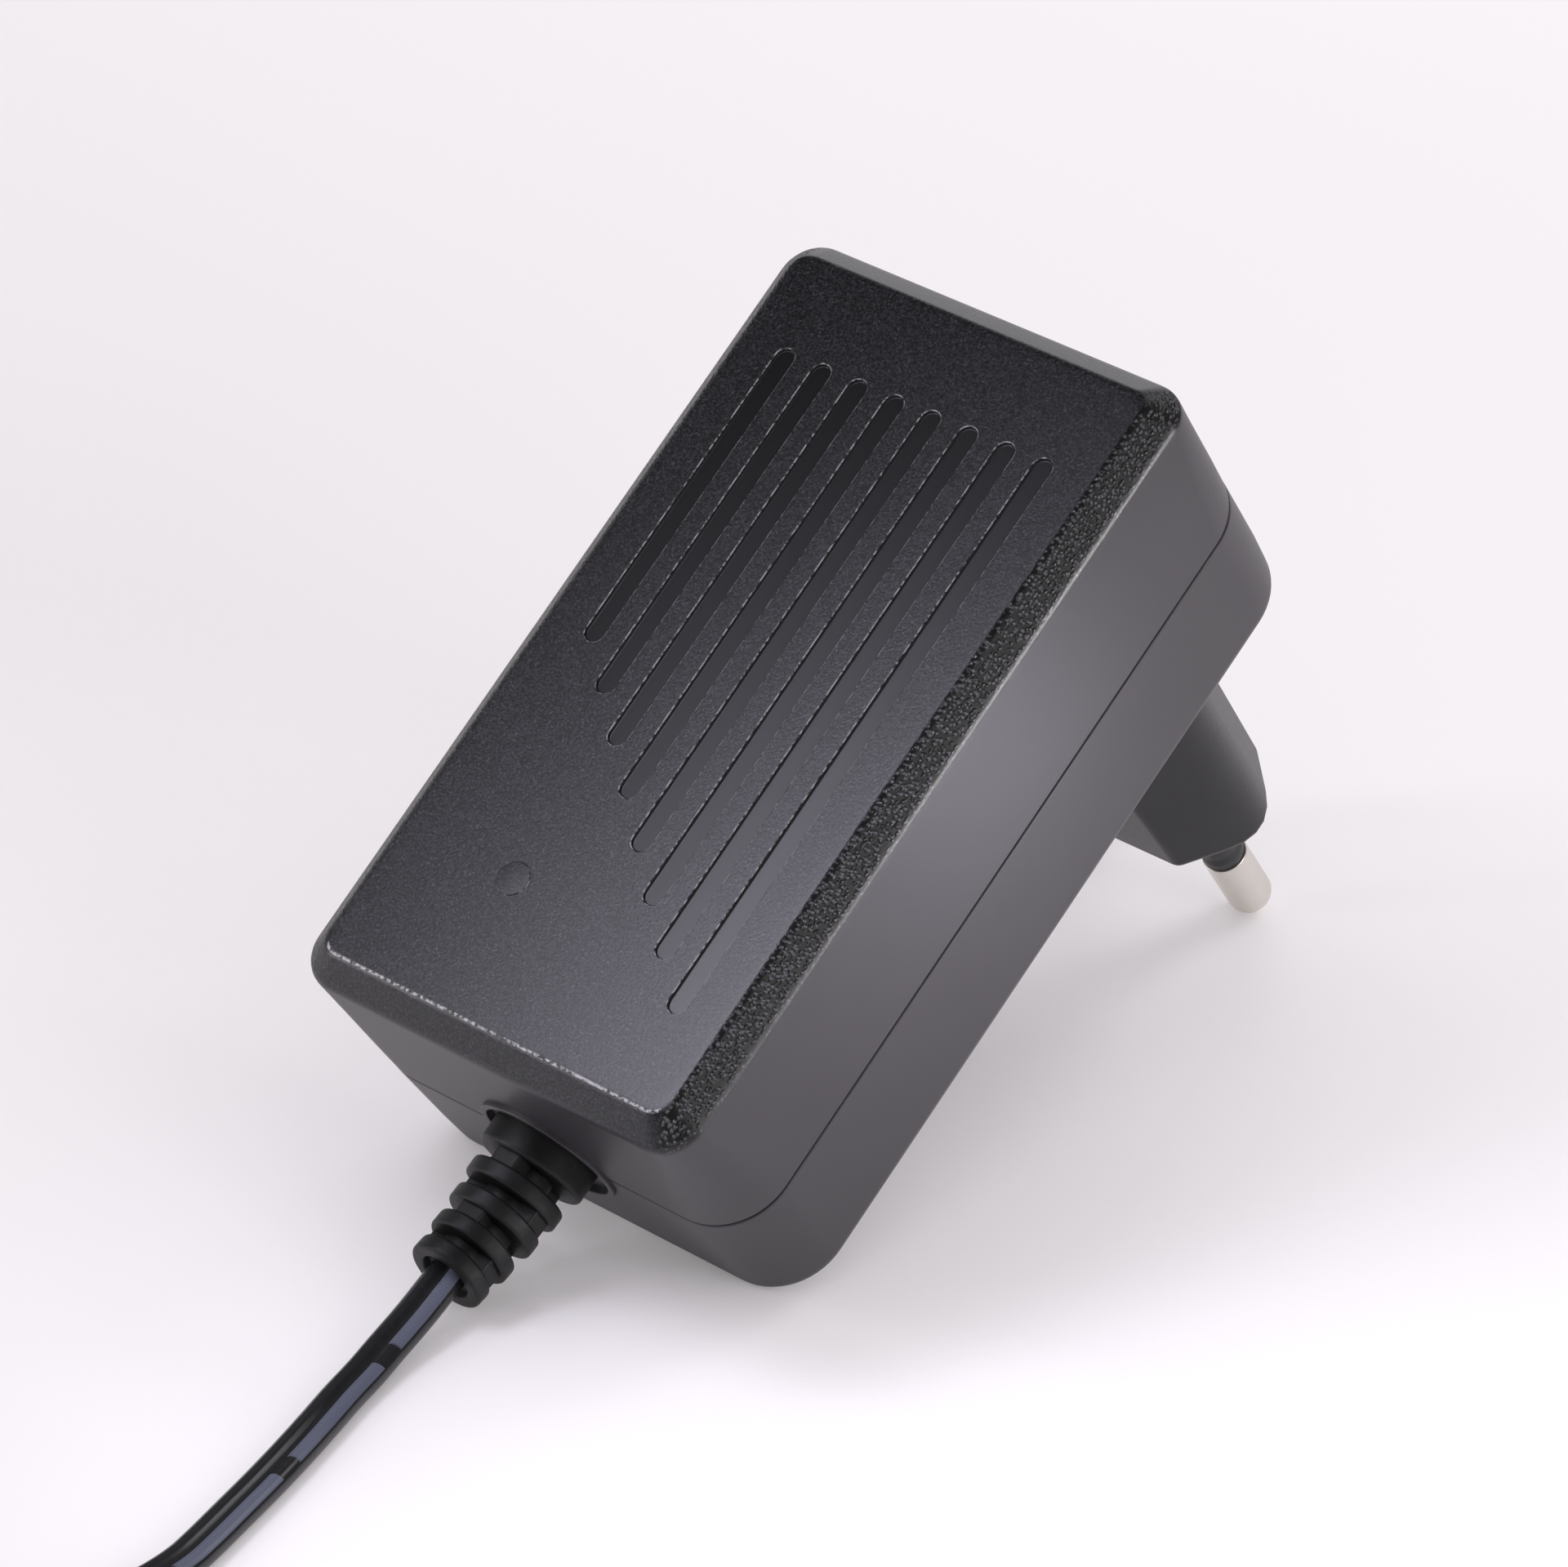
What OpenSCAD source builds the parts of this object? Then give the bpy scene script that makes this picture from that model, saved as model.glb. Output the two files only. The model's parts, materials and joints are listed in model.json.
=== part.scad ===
// Plug-in power adapter with a fixed two-pin plug and a low-voltage lead.
// It leans on its pin tips and on the rear edge of its cord end, on a surface at z = 0.
// The housing's own axes: x across, y from the cord end to the far end, z from the rear face to the front.

/* [Housing] */
// Length of the housing at the seam
case_l = 75; // [70:1:90]
// Width of the housing at the seam
case_w = 41.7; // [41:0.1:50]
// Depth from the rear face to the front face
case_d = 29; // [28.5:0.5:36]
// Height of the seam above the rear face
seam_z = 12.9; // [12.5:0.1:14]
// Wall thickness of both shells
wall = 2; // [1.8:0.1:2.4]
// Width and depth of the chamfer round the front face
chamfer = 2.2; // [1.5:0.1:3]
// Inward lean of the cover's sides, from the seam to the chamfer
cover_draft = 0.33; // [0.1:0.01:0.6]
// Inward lean of the rear shell's sides
rear_draft = 0.3; // [0.1:0.05:0.6]
// Rounding of the rear edge
rear_round = 1.5; // [0.8:0.1:2]
// Corner radius at the seam
corner_r = 6; // [4:0.5:7]
// Corner radius where the sides meet the chamfer
shoulder_r = 3.4; // [2.5:0.1:5]
// Corner radius of the flat front face
front_r = 1.8; // [1:0.1:3]
// Open line of the seam
seam_gap = 0.2; // [0.1:0.05:0.3]
// Height of the tongue that locates the two shells
tongue_h = 1.9; // [1.5:0.1:2.4]
// Clearance round the tongue
tongue_fit = 0.08; // [0.05:0.01:0.15]

/* [Front face] */
// Number of grooves in the front face
groove_n = 8; // [5:1:9]
// Distance from groove to groove
groove_pitch = 3.85; // [3.5:0.05:4]
// Width of a groove
groove_w = 1.9; // [1.5:0.1:2.4]
// Depth of a groove
groove_depth = 0.35; // [0.2:0.05:0.6]
// Distance from the grooves' top ends to the far end
groove_top = 10.7; // [8:0.1:14]
// Distance from the longest groove's low end to the cord end
groove_low = 10.5; // [8:0.1:14]
// How much shorter each groove is than the next one
groove_step = 3.49; // [2.5:0.01:4]
// Diameter of the blank disc
disc_d = 3; // [2:0.1:4]
// Distance of the disc from the middle line
disc_x = 6.2; // [4:0.1:9]
// Distance of the disc from the cord end
disc_y = 14.5; // [8:0.1:18]
// Height of the disc above the front face
disc_h = 0.15; // [0.05:0.05:0.3]

/* [Plug] */
// Distance of the plug's middle from the far end
plug_in = 15; // [15:0.5:19]
// Height of the plug boss behind the rear face
boss_h = 22.5; // [19:0.5:26]
// Thickness of the boss across its flats
boss_w = 13.7; // [13:0.1:14]
// Length of the boss's flat sides
boss_flat = 25.8; // [24:0.1:27]
// Inward lean of the boss's sides, from the rear face to its end face
boss_draft = 0.6; // [0.2:0.1:0.8]
// Rounding at each end of the boss
boss_end_r = 5; // [3:0.1:6]
// Wall thickness of the hollow boss
boss_wall = 1.8; // [1.5:0.1:2.2]
// Thickness of the boss's end wall
boss_end_wall = 3.5; // [3:0.1:5]
// Distance between the pins at the boss
pin_pitch = 18.6; // [18:0.1:19.2]
// Distance between the pins at their tips
tip_pitch = 17.5; // [17:0.1:18.5]
// Length of a pin outside the boss
pin_l = 19; // [18.5:0.1:19.5]
// Diameter of a pin's bare end
pin_d = 4; // [3.9:0.02:4.1]
// Length of the sleeved stretch of a pin
sleeve_l = 10; // [9:0.1:11]
// Outer diameter of a sleeve
sleeve_d = 3.5; // [3.3:0.1:3.8]
// Diameter of the pin inside its sleeve
neck_d = 2.8; // [2.4:0.1:3]
// Clearance between a pin and its hole
pin_fit = 0.03; // [0.02:0.01:0.06]

/* [Strain relief] */
// Outside length of the strain relief
relief_l = 13.6; // [13:0.1:14.5]
// Number of rings
ring_n = 4; // [3:1:5]
// Diameter of the collar against the housing
collar_d = 9.5; // [9:0.1:10.5]
// Length of the collar
collar_l = 2.6; // [2.2:0.1:3.5]
// Diameter of the first ring
ring_first_d = 8.5; // [7:0.1:9]
// Diameter of the last ring
ring_last_d = 6.9; // [6:0.1:8]
// Thickness of a ring
ring_t = 1.5; // [1.2:0.1:1.7]
// Diameter of the sleeve inside the rings
relief_core_d = 5; // [4.6:0.1:5.4]
// Width of the bridges between the rings
bridge_w = 2.4; // [2:0.1:3.2]
// Upward bend of the strain relief, in degrees
relief_bend = 15; // [14:1:24]
// Diameter of the neck that passes the wall
neck_hole_d = 8; // [7:0.1:8.6]
// Height of the strain relief's axis above the seam
relief_rise = 0.5; // [0.3:0.1:0.8]
// Clearance of the neck in the wall
relief_fit = 0.1; // [0.05:0.05:0.2]
// Radius of the raised lip round the cord exit
lip_r = 6.4; // [5.6:0.1:7]
// Height of the raised lip
lip_h = 0.3; // [0.2:0.1:0.8]
// Width of the raised lip
lip_w = 0.6; // [0.5:0.1:1]

/* [Lead] */
// Width of the flat twin lead
lead_w = 3.6; // [3:0.1:4]
// Thickness of the lead
lead_t = 1.8; // [1.5:0.1:2]
// Turns side by side in the coil
coil_columns = 4; // [3:1:5]
// Layers of turns in the coil
coil_layers = 2; // [2:2:4]
// Radius at the middle of the coil's turns
coil_r = 20.3; // [19:0.1:22]
// Width of the tie round the coil
tie_w = 5; // [4:0.5:8]
// Thickness of the tie
tie_t = 0.4; // [0.3:0.1:0.6]

/* [Barrel plug] */
// Length of the moulded grip
grip_l = 24; // [20:1:30]
// Largest diameter of the grip
grip_d = 9.6; // [9:0.1:11]
// Diameter of the grip where the lead enters
grip_tail_d = 5.4; // [5:0.1:6]
// Outer diameter of the barrel
barrel_d = 5.5; // [5.3:0.05:5.7]
// Length of the barrel
barrel_l = 9.5; // [9:0.1:12]
// Bore of the centre contact
contact_bore = 2.1; // [2:0.05:2.5]
// Wall of the barrel and of the centre contact
contact_wall = 0.35; // [0.25:0.05:0.4]

/* [Inside] */
// Thickness of the circuit board
board_t = 1.6; // [1.2:0.1:2]
// Clearance between the board and the shells' side walls
board_gap = 1; // [0.6:0.1:1.5]
// Space between the board and the cover's inner face
board_lift = 3; // [2.5:0.1:3.5]
// Diameter of the posts that hold the board
post_d = 3; // [2:0.1:4]
// Diameter of the mains capacitors
can_d = 10; // [8:0.5:10.4]
// Diameter of the output capacitors
out_can_d = 9; // [7:0.5:9.4]
// Space between the tallest parts and the rear wall
rear_space = 4.9; // [4.2:0.1:6]
// Clearance between neighbouring parts on the board
part_gap = 0.8; // [0.5:0.1:1]
// Diameter of the inner wires
wire_d = 1.8; // [1.4:0.1:2]

/* [Hidden] */

$fn = 48;
eps = 0.01;
arc_n = 6;

housing_black = [0.14, 0.14, 0.16];
rubber_black = [0.06, 0.06, 0.065];
nickel = [0.78, 0.77, 0.74];

// The lean: one straight line touches the rounded rear edge and the round pin tips
plug_y = case_l - plug_in;
tip_r = pin_d / 2;
foot_y = rear_draft + rear_round;
tip_z = -(boss_h + pin_l - tip_r);
reach_y = plug_y - foot_y;
reach_z = rear_round - tip_z;
lean = atan2(reach_z, reach_y) + asin((tip_r - rear_round) / norm([reach_y, reach_z]));
floor_z = rear_round - foot_y * sin(lean) - rear_round * cos(lean);
near_y = cover_draft * cos(lean) - (case_d - chamfer) * sin(lean);
far_y = plug_y * cos(lean) - tip_z * sin(lean) + tip_r;
middle_y = (near_y + far_y) / 2;

pin_lean = atan((pin_pitch - tip_pitch) / 2 / pin_l);
pin_tail = 5;
pin_head_d = pin_d + 1.2;
pin_head_h = 1;
sleeve_wall_fit = 0.02;

relief_z = seam_z + relief_rise;
ring_r = [for (i = [0 : ring_n - 1]) (ring_first_d + (ring_last_d - ring_first_d) * i / (ring_n - 1)) / 2];
segment = (relief_l - collar_l) / ring_n;
bend_r = (relief_l - collar_l) / (relief_bend * PI / 180);
flange_l = 2;
wire_x = lead_w / 4 + 0.25;
flange_w = 10;

// The board lies behind the cover, with its parts towards the rear
board_w = case_w - 2 * (wall + board_gap + cover_draft);
board_l = case_l - 2 * (wall + board_gap + cover_draft) - 1;
board_front = case_d - wall - board_lift;
board_z = board_front - board_t;
board_y0 = (case_l - board_l) / 2 + 0.5;
post_in = 3.2;
edge_in = post_in + post_d / 2;

// Sizes of the parts on the board, which stand in rows from the cord end to the far end
tall_h = board_z - wall - rear_space;
low_h = tall_h * 0.65;
inductor_d = 7.6;
bridge_d = 8.2;
fuse_d = 6;
card_t = 0.5;
chip_w = 5.6;
chip_l = 9.6;
chip_h = 3.3;
sink_l = 13;
sink_t = 1.5;
body_w = 4.4;
foot_h = 3;
foot_pitch = 2.54;
core_l = 16.2;
core_t = 5;
window_l = 11.4;
bobbin_t = 0.6;
bobbin_fit = 0.05;
rail_h = 4.7;
rail_out = 0.4;
row_edge = 0.3;
row_gap = (board_l - 2 * (row_edge + rail_out) - inductor_d - out_can_d - card_t - core_l - can_d - bridge_d) / 5;
inductor_y = board_y0 + row_edge + inductor_d / 2;
output_y = inductor_y + inductor_d / 2 + row_gap + out_can_d / 2;
card_y = output_y + out_can_d / 2 + row_gap + card_t / 2;
trafo_y = card_y + card_t / 2 + row_gap + rail_out + core_l / 2;
bulk_y = trafo_y + core_l / 2 + rail_out + row_gap + can_d / 2;
entry_y = bulk_y + can_d / 2 + row_gap + bridge_d / 2;

// The core fills the width between the two strips of small parts, and its legs are shares of it
strip = chip_w + 1.2;
strip_x = board_w / 2 - strip / 2;
core_w = board_w - 2 * strip;
leg_w = core_w * 0.24;
window_w = (core_w - 2 * leg_w) / 2;
winding_x = window_w - bobbin_t - bobbin_fit - 1;
winding_z = rail_h - bobbin_t - 0.6;
trafo_z = board_z - rail_h - core_t / 2 - bobbin_fit;

can_x = board_w / 2 - part_gap - can_d / 2;
choke_d = min(can_d, 2 * (can_x - can_d / 2 - part_gap));
out_can_x = board_w / 2 - part_gap - out_can_d / 2;
wire_strip = wire_d + 0.4;
fuse_x = board_w / 2 - wire_strip - fuse_d / 2;
bridge_x = board_w / 2 - wire_strip - bridge_d / 2;

// Where the lead runs on the surface, by hand: first from the strain relief, then to the coil
coil_at = [15, -134];
coil_base = tie_t;
coil_in = coil_r - coil_columns * lead_w / 2;
coil_out = coil_r + coil_columns * lead_w / 2;
coil_h = coil_layers * lead_t;
lead_z = lead_t / 2;
relief_end = relief_point(relief_l);
lead_start = stand_point([0, -relief_end[0], relief_z + relief_end[1]]);
lead_route = [
  [0.5, -51.6, 2.7], [0.9, -54, 2.1], [1.4, -57, 1.5], [2.1, -60.1, 1.1], [2.9, -63.5, 0.95],
  [4.1, -67.6, 0.9], [5.3, -71.8, 0.9], [6.4, -76, 0.9], [7.4, -80.2, 0.9], [8.4, -84.5, 0.9],
  [8.9, -87.5, 0.9], [8.8, -91.5, 0.9], [7.7, -95.6, 0.9], [5.8, -99.2, 0.9], [3.2, -102.7, 0.9],
  [0.4, -106, 0.9], [-2.7, -109.2, 0.9], [-5.7, -112.5, 0.9], [-8.6, -116.2, 0.9], [-10.9, -119.9, 1],
  [-12.7, -124, 1.2]];
tail_route = [
  [-9.9, -127.8, 4.95], [-10.6, -131.8, 4.95], [-10.6, -135.8, 4.95], [-10, -139.8, 4.95],
  [-8.8, -143.6, 5.38], [-7.1, -147.1, 6.32], [-5.2, -149.6, 7.2], [-2.7, -151.4, 8.04],
  [0.2, -152.6, 8.66]];
grip_at = [3.2, -153, coil_base + coil_h + grip_d / 2 + 0.1];

// A point of the housing after it has been stood up
function stand_point(p) = [p[0],
  p[1] * cos(lean) - p[2] * sin(lean) - middle_y,
  p[1] * sin(lean) + p[2] * cos(lean) + floor_z];

// How far out and how far up the strain relief's middle line is, at a length along it
function relief_angle(s) = s <= collar_l ? 0 : relief_bend * (s - collar_l) / (relief_l - collar_l);
function relief_point(s) = let (a = relief_angle(s), lead = min(s, collar_l))
  [lead + bend_r * sin(a), bend_r * (1 - cos(a))];

// Outline of the housing at one height, pulled in by inset, with corner radius r
function case_ring(z, inset, r) = let (x = case_w / 2 - inset - r, y = case_l / 2 - inset - r)
  [for (c = [[1, -1, -90], [1, 1, 0], [-1, 1, 90], [-1, -1, 180]]) for (i = [0 : arc_n])
    let (a = c[2] + 90 * i / arc_n)
    [c[0] * x + r * cos(a), case_l / 2 + c[1] * y + r * sin(a), z]];

// Outline of the plug boss at one height, pulled in by inset
function boss_ring(z, inset) = let (
    flat = boss_flat / 2 - inset * (sqrt(2) - 1),
    side = boss_w / 2 - inset,
    r = boss_end_r - inset,
    cx = boss_flat / 2 + boss_w / 2 - boss_end_r * sqrt(2))
  [for (p = concat(
      [for (i = [0 : arc_n]) let (a = -45 + 90 * i / arc_n) [cx + r * cos(a), r * sin(a)]],
      [[flat, side], [-flat, side]],
      [for (i = [0 : arc_n]) let (a = 135 + 90 * i / arc_n) [-cx + r * cos(a), r * sin(a)]],
      [[-flat, -side], [flat, -side]]))
    [p[0], plug_y + p[1], z]];

// A closed skin over rings of points, each ring running the same way round
module skin(rings) {
  m = len(rings[0]);
  n = len(rings);
  sides = [for (j = [0 : n - 2]) for (i = [0 : m - 1]) let (k = (i + 1) % m)
    each [[j * m + i, (j + 1) * m + i, (j + 1) * m + k], [j * m + i, (j + 1) * m + k, j * m + k]]];
  bottom = [for (i = [0 : m - 1]) i];
  top = [for (i = [m - 1 : -1 : 0]) (n - 1) * m + i];
  polyhedron(points = [for (r = rings) each r], faces = concat([bottom], sides, [top]));
}

// One ring of a lead's section, square to the run from a to b; up is the way its thin side faces
function flat_section(p, a, b, w, t, up) = let (
    d = (b - a) / norm(b - a),
    s = cross(d, up) / norm(cross(d, up)),
    u = cross(s, d))
  [for (i = [0 : 7]) let (g = 22.5 + 45 * i)
    p + s * (w / 2 * cos(g) / cos(22.5)) + u * (t / 2 * sin(g) / cos(22.5))];

// A tube of flat or round section along a list of points
module sweep(route, w, t, up = [0, 0, 1]) {
  last = len(route) - 1;
  skin([for (i = [0 : last])
    flat_section(route[i], route[max(i - 1, 0)], route[min(i + 1, last)], w, t, up)]);
}

module stand() {
  translate([0, -middle_y, floor_z]) rotate([lean, 0, 0]) children();
}

// Places a piece on the strain relief's bent middle line, with its own z outwards
module on_relief(s) {
  p = relief_point(s);
  translate([0, -p[0], relief_z + p[1]]) rotate([90 - relief_angle(s), 0, 0]) children();
}

module groove(i) {
  x = (i - (groove_n - 1) / 2) * groove_pitch;
  low = groove_low + (groove_n - 1 - i) * groove_step + groove_w / 2;
  high = case_l - groove_top - groove_w / 2;
  translate([x, 0, case_d - groove_depth]) linear_extrude(groove_depth + 1) {
    translate([0, low]) circle(d = groove_w);
    translate([0, high]) circle(d = groove_w);
    translate([-groove_w / 2, low]) square([groove_w, high - low]);
  }
}

// The hole, the counterbore and the lip at the cord exit, shared by both shells
module exit_hole() {
  translate([0, -lip_h - 1, relief_z]) rotate([-90, 0, 0]) cylinder(d = neck_hole_d + 2 * relief_fit, h = wall + lip_h + 3);
}

module exit_lip() {
  translate([0, wall / 2, seam_z]) rotate([90, 0, 0]) difference() {
    cylinder(r = lip_r, h = wall / 2 + lip_h);
    translate([0, 0, -1]) cylinder(r = lip_r - lip_w, h = wall / 2 + lip_h + 2);
  }
}

module upper_half() {
  translate([-case_w, -case_l / 2, seam_z + seam_gap]) cube([2 * case_w, 2 * case_l, case_d]);
}

module lower_half() {
  translate([-case_w, -case_l / 2, -eps]) cube([2 * case_w, 2 * case_l, seam_z + eps]);
}

module board_posts() {
  for (x = [-1, 1], y = [board_y0 + post_in, board_y0 + board_l - post_in])
    translate([x * (board_w / 2 - post_in), y, board_front])
      cylinder(d = post_d, h = board_lift + wall / 2);
}

// The moulded front shell: drafted sides, a chamfer, staggered grooves and a rebate at the seam
module front_cover() color(housing_black) stand() {
  shoulder_z = case_d - chamfer;
  flat_inset = cover_draft + chamfer;
  soft = 0.2;
  difference() {
    union() {
      skin([
        case_ring(seam_z + seam_gap, 0, corner_r),
        case_ring(shoulder_z - soft, cover_draft * 0.97, shoulder_r + 0.2),
        case_ring(shoulder_z + soft, cover_draft + soft, shoulder_r),
        case_ring(case_d - soft, flat_inset - soft, front_r + 0.1),
        case_ring(case_d, flat_inset + soft, front_r)]);
      intersection() {
        exit_lip();
        upper_half();
      }
      translate([disc_x * -1, disc_y, case_d - eps]) cylinder(d = disc_d, h = disc_h + eps);
    }
    skin([
      case_ring(seam_z - 1, wall, corner_r - wall),
      case_ring(shoulder_z - 1, wall + cover_draft, max(shoulder_r - wall, 1)),
      case_ring(case_d - wall, wall + cover_draft + 1, 1)]);
    skin([
      case_ring(seam_z - 1, wall / 2 - tongue_fit / 2, corner_r - wall / 2),
      case_ring(seam_z + tongue_h + tongue_fit, wall / 2 - tongue_fit / 2, corner_r - wall / 2)]);
    for (i = [0 : groove_n - 1]) groove(i);
    exit_hole();
  }
  board_posts();
}

// The moulded rear shell with its hollow plug boss, tongue and board ribs
module rear_case() color(housing_black) stand() {
  difference() {
    union() {
      skin(concat(
        [for (i = [0 : 3]) let (a = 90 * i / 3)
          case_ring(rear_round * (1 - cos(a)), rear_draft + rear_round * (1 - sin(a)),
            corner_r - rear_round * (1 - sin(a)))],
        [case_ring(seam_z, 0, corner_r)]));
      skin([
        case_ring(wall, wall / 2 + tongue_fit / 2, corner_r - wall / 2),
        case_ring(seam_z + tongue_h, wall / 2 + tongue_fit / 2, corner_r - wall / 2)]);
      skin([
        boss_ring(-boss_h, boss_draft + 1), boss_ring(-boss_h + 0.3, boss_draft + 0.4),
        boss_ring(-boss_h + 1, boss_draft), boss_ring(wall / 2, 0)]);
      intersection() {
        exit_lip();
        lower_half();
      }
    }
    skin([
      case_ring(wall, wall + rear_draft + 0.6, corner_r - wall - 0.6),
      case_ring(wall + 0.6, wall + rear_draft, corner_r - wall),
      case_ring(seam_z, wall, corner_r - wall),
      case_ring(seam_z + tongue_h + 1, wall, corner_r - wall)]);
    skin([boss_ring(boss_end_wall - boss_h, boss_wall + boss_draft), boss_ring(wall + 1, boss_wall)]);
    for (side = [-1, 1]) pin_place(side) translate([0, 0, -1]) cylinder(d = pin_d + 2 * pin_fit, h = boss_end_wall + 2);
    exit_hole();
  }
  board_ribs();
}

// Ribs on the rear shell's side walls that the board rests on
module board_ribs() {
  for (x = [-1, 1], y = [card_y, trafo_y + core_l / 2 + rail_out + row_gap / 2])
    translate([x * (board_w / 2 - 0.6) - 0.8, y - 1, wall / 2]) cube([1.6, 2, board_z - wall / 2]);
}

// Puts a piece at a pin's hole, with its own z pointing into the housing
module pin_place(side) {
  translate([side * pin_pitch / 2, plug_y, -boss_h]) rotate([0, side * pin_lean, 0]) children();
}

module pin(side) color(nickel) stand() pin_place(side) {
  bare = pin_l - sleeve_l;
  rotate_extrude() polygon(concat(
    [[0, boss_end_wall + pin_tail], [neck_d / 2, boss_end_wall + pin_tail],
      [neck_d / 2, boss_end_wall + pin_head_h], [pin_head_d / 2, boss_end_wall + pin_head_h],
      [pin_head_d / 2, boss_end_wall + 0.12], [pin_d / 2, boss_end_wall + 0.12], [pin_d / 2, 0],
      [neck_d / 2, 0], [neck_d / 2, -sleeve_l], [pin_d / 2, -sleeve_l]],
    [for (i = [0 : 7]) let (a = 90 * i / 8)
      [tip_r * cos(a), -sleeve_l - bare + tip_r - tip_r * sin(a)]],
    [[0, -sleeve_l - bare]]));
}

module sleeve(side) color(rubber_black) stand() pin_place(side) {
  translate([0, 0, -sleeve_l]) difference() {
    cylinder(d = sleeve_d, h = sleeve_l);
    translate([0, 0, -1]) cylinder(d = neck_d + 2 * sleeve_wall_fit, h = sleeve_l + 2);
  }
}

// One ring of the strain relief with softened edges, its middle at z = 0
module relief_ring(r) {
  soft = 0.25;
  rotate_extrude() polygon([
    [0, -ring_t / 2], [r - soft, -ring_t / 2], [r, -ring_t / 2 + soft],
    [r, ring_t / 2 - soft], [r - soft, ring_t / 2], [0, ring_t / 2]]);
}

// The moulded strain relief: flange, neck, collar and rings joined by alternating bridges
module strain_relief() color(rubber_black) stand() difference() {
  union() {
    translate([0, wall + flange_l, relief_z]) rotate([90, 0, 0]) {
      translate([-flange_w / 2, -flange_w / 2, 0]) cube([flange_w, flange_w, flange_l - 2 * relief_fit]);
      cylinder(d = neck_hole_d, h = flange_l + wall + 1);
    }
    on_relief(relief_fit) rotate_extrude() polygon([
      [0, 0], [collar_d / 2, 0], [collar_d / 2, collar_l - 0.5], [collar_d / 2 - 0.4, collar_l - relief_fit],
      [0, collar_l - relief_fit]]);
    for (i = [0 : ring_n - 1]) {
      on_relief(collar_l + (i + 1) * segment - ring_t / 2) relief_ring(ring_r[i]);
      on_relief(collar_l + (i + 0.5) * segment) relief_link(i);
    }
  }
  lead_hole();
}

// The stretch between two rings: the inner sleeve and two bridges, turned by a quarter at each step
module relief_link(i) {
  gap = segment - ring_t;
  reach = ring_r[i] - 0.6;
  translate([0, 0, -segment / 2 - 0.3]) cylinder(d = relief_core_d, h = segment + 0.3 - ring_t / 2);
  rotate([0, 0, i % 2 == 0 ? 90 : 0]) translate([-reach, -bridge_w / 2, -ring_t / 2 - gap / 2 - 0.2])
    cube([2 * reach, bridge_w, gap + 0.6]);
}

// The passage for the lead: straight through the wall, then along the bend to the end
module lead_hole() {
  pocket = 1.2;
  on_relief(relief_l - pocket) translate([-lead_w / 2, -lead_t / 2, 0]) cube([lead_w, lead_t, pocket + 1]);
  translate([0, wall + flange_l + 1, relief_z]) rotate([90, 0, 0]) {
    for (x = [-1, 1]) translate([x * wire_x, 0, 0]) cylinder(d = wire_d, h = 3);
  }
}

module dc_lead() color(rubber_black) {
  seat = relief_point(relief_l - 1.1);
  sweep(concat([stand_point([0, -seat[0], relief_z + seat[1]]), lead_start], lead_route), lead_w - 0.1, lead_t - 0.1);
}

// The coil's outer shape
module dc_lead_coil() color(rubber_black)
  translate([coil_at[0], coil_at[1], coil_base]) rotate_extrude($fn = 72)
    translate([coil_in, 0]) square([coil_out - coil_in, coil_h]);

module dc_lead_tail() color(rubber_black)
  sweep(concat(tail_route, [grip_at + [-0.2, 0, 0]]), lead_w - 0.1, lead_t - 0.1);

module lead_tie() color([0.1, 0.1, 0.1])
  translate([coil_at[0], coil_at[1], 0]) rotate([0, 0, 40]) translate([coil_r, -tie_w / 2, 0]) difference() {
    size = [coil_out - coil_in + 2 * tie_t + 1.2, tie_w, coil_h + 2 * tie_t];
    translate([-size[0] / 2, 0, 0]) cube(size);
    translate([-size[0] / 2 + tie_t, -1, tie_t]) cube([size[0] - 2 * tie_t, tie_w + 2, coil_h + 0.02]);
  }

// Lays a piece of the barrel plug along x, with its own z pointing out of the plug
module along_plug() {
  translate(grip_at) rotate([0, 90, 0]) children();
}

module plug_grip() color(rubber_black) along_plug() difference() {
  rotate_extrude() polygon([
    [0, 0], [grip_tail_d / 2, 0], [grip_tail_d / 2 + 0.3, grip_l * 0.3], [grip_d / 2 - 0.6, grip_l * 0.5],
    [grip_d / 2, grip_l * 0.62], [grip_d / 2, grip_l - 0.6], [grip_d / 2 - 0.6, grip_l], [0, grip_l]]);
  translate([0, 0, grip_l - 6]) cylinder(d = barrel_d + 2 * contact_wall + 0.04, h = 7);
  translate([-lead_t / 2, -lead_w / 2, -1]) cube([lead_t, lead_w, 3]);
}

module barrel_contact() color(nickel) along_plug() translate([0, 0, grip_l - 6]) difference() {
  union() {
    cylinder(d = barrel_d, h = 6 + barrel_l);
    cylinder(d = barrel_d + 2 * contact_wall, h = 6);
  }
  translate([0, 0, 1]) cylinder(d = barrel_d - 2 * contact_wall, h = 6 + barrel_l);
}

module barrel_insulator() color([0.9, 0.75, 0.1]) along_plug() translate([0, 0, grip_l - 4.9]) difference() {
  cylinder(d = barrel_d - 2 * contact_wall - 0.04, h = 4.7 + barrel_l);
  translate([0, 0, 0.6]) cylinder(d = contact_bore + 2 * contact_wall + 0.04, h = 5 + barrel_l);
}

module centre_contact() color(nickel) along_plug() translate([0, 0, grip_l - 4.2]) difference() {
  cylinder(d = contact_bore + 2 * contact_wall, h = 4 + barrel_l - 0.2);
  translate([0, 0, 4]) cylinder(d = contact_bore, h = barrel_l + 1);
}

module circuit_board() color([0.2, 0.42, 0.2]) stand()
  translate([-board_w / 2, board_y0, board_z]) cube([board_w, board_l, board_t]);

// Puts a piece on the board's component side, with its own z pointing to the rear
module on_board(x, y) {
  translate([x, y, board_z]) rotate([180, 0, 0]) children();
}

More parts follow.
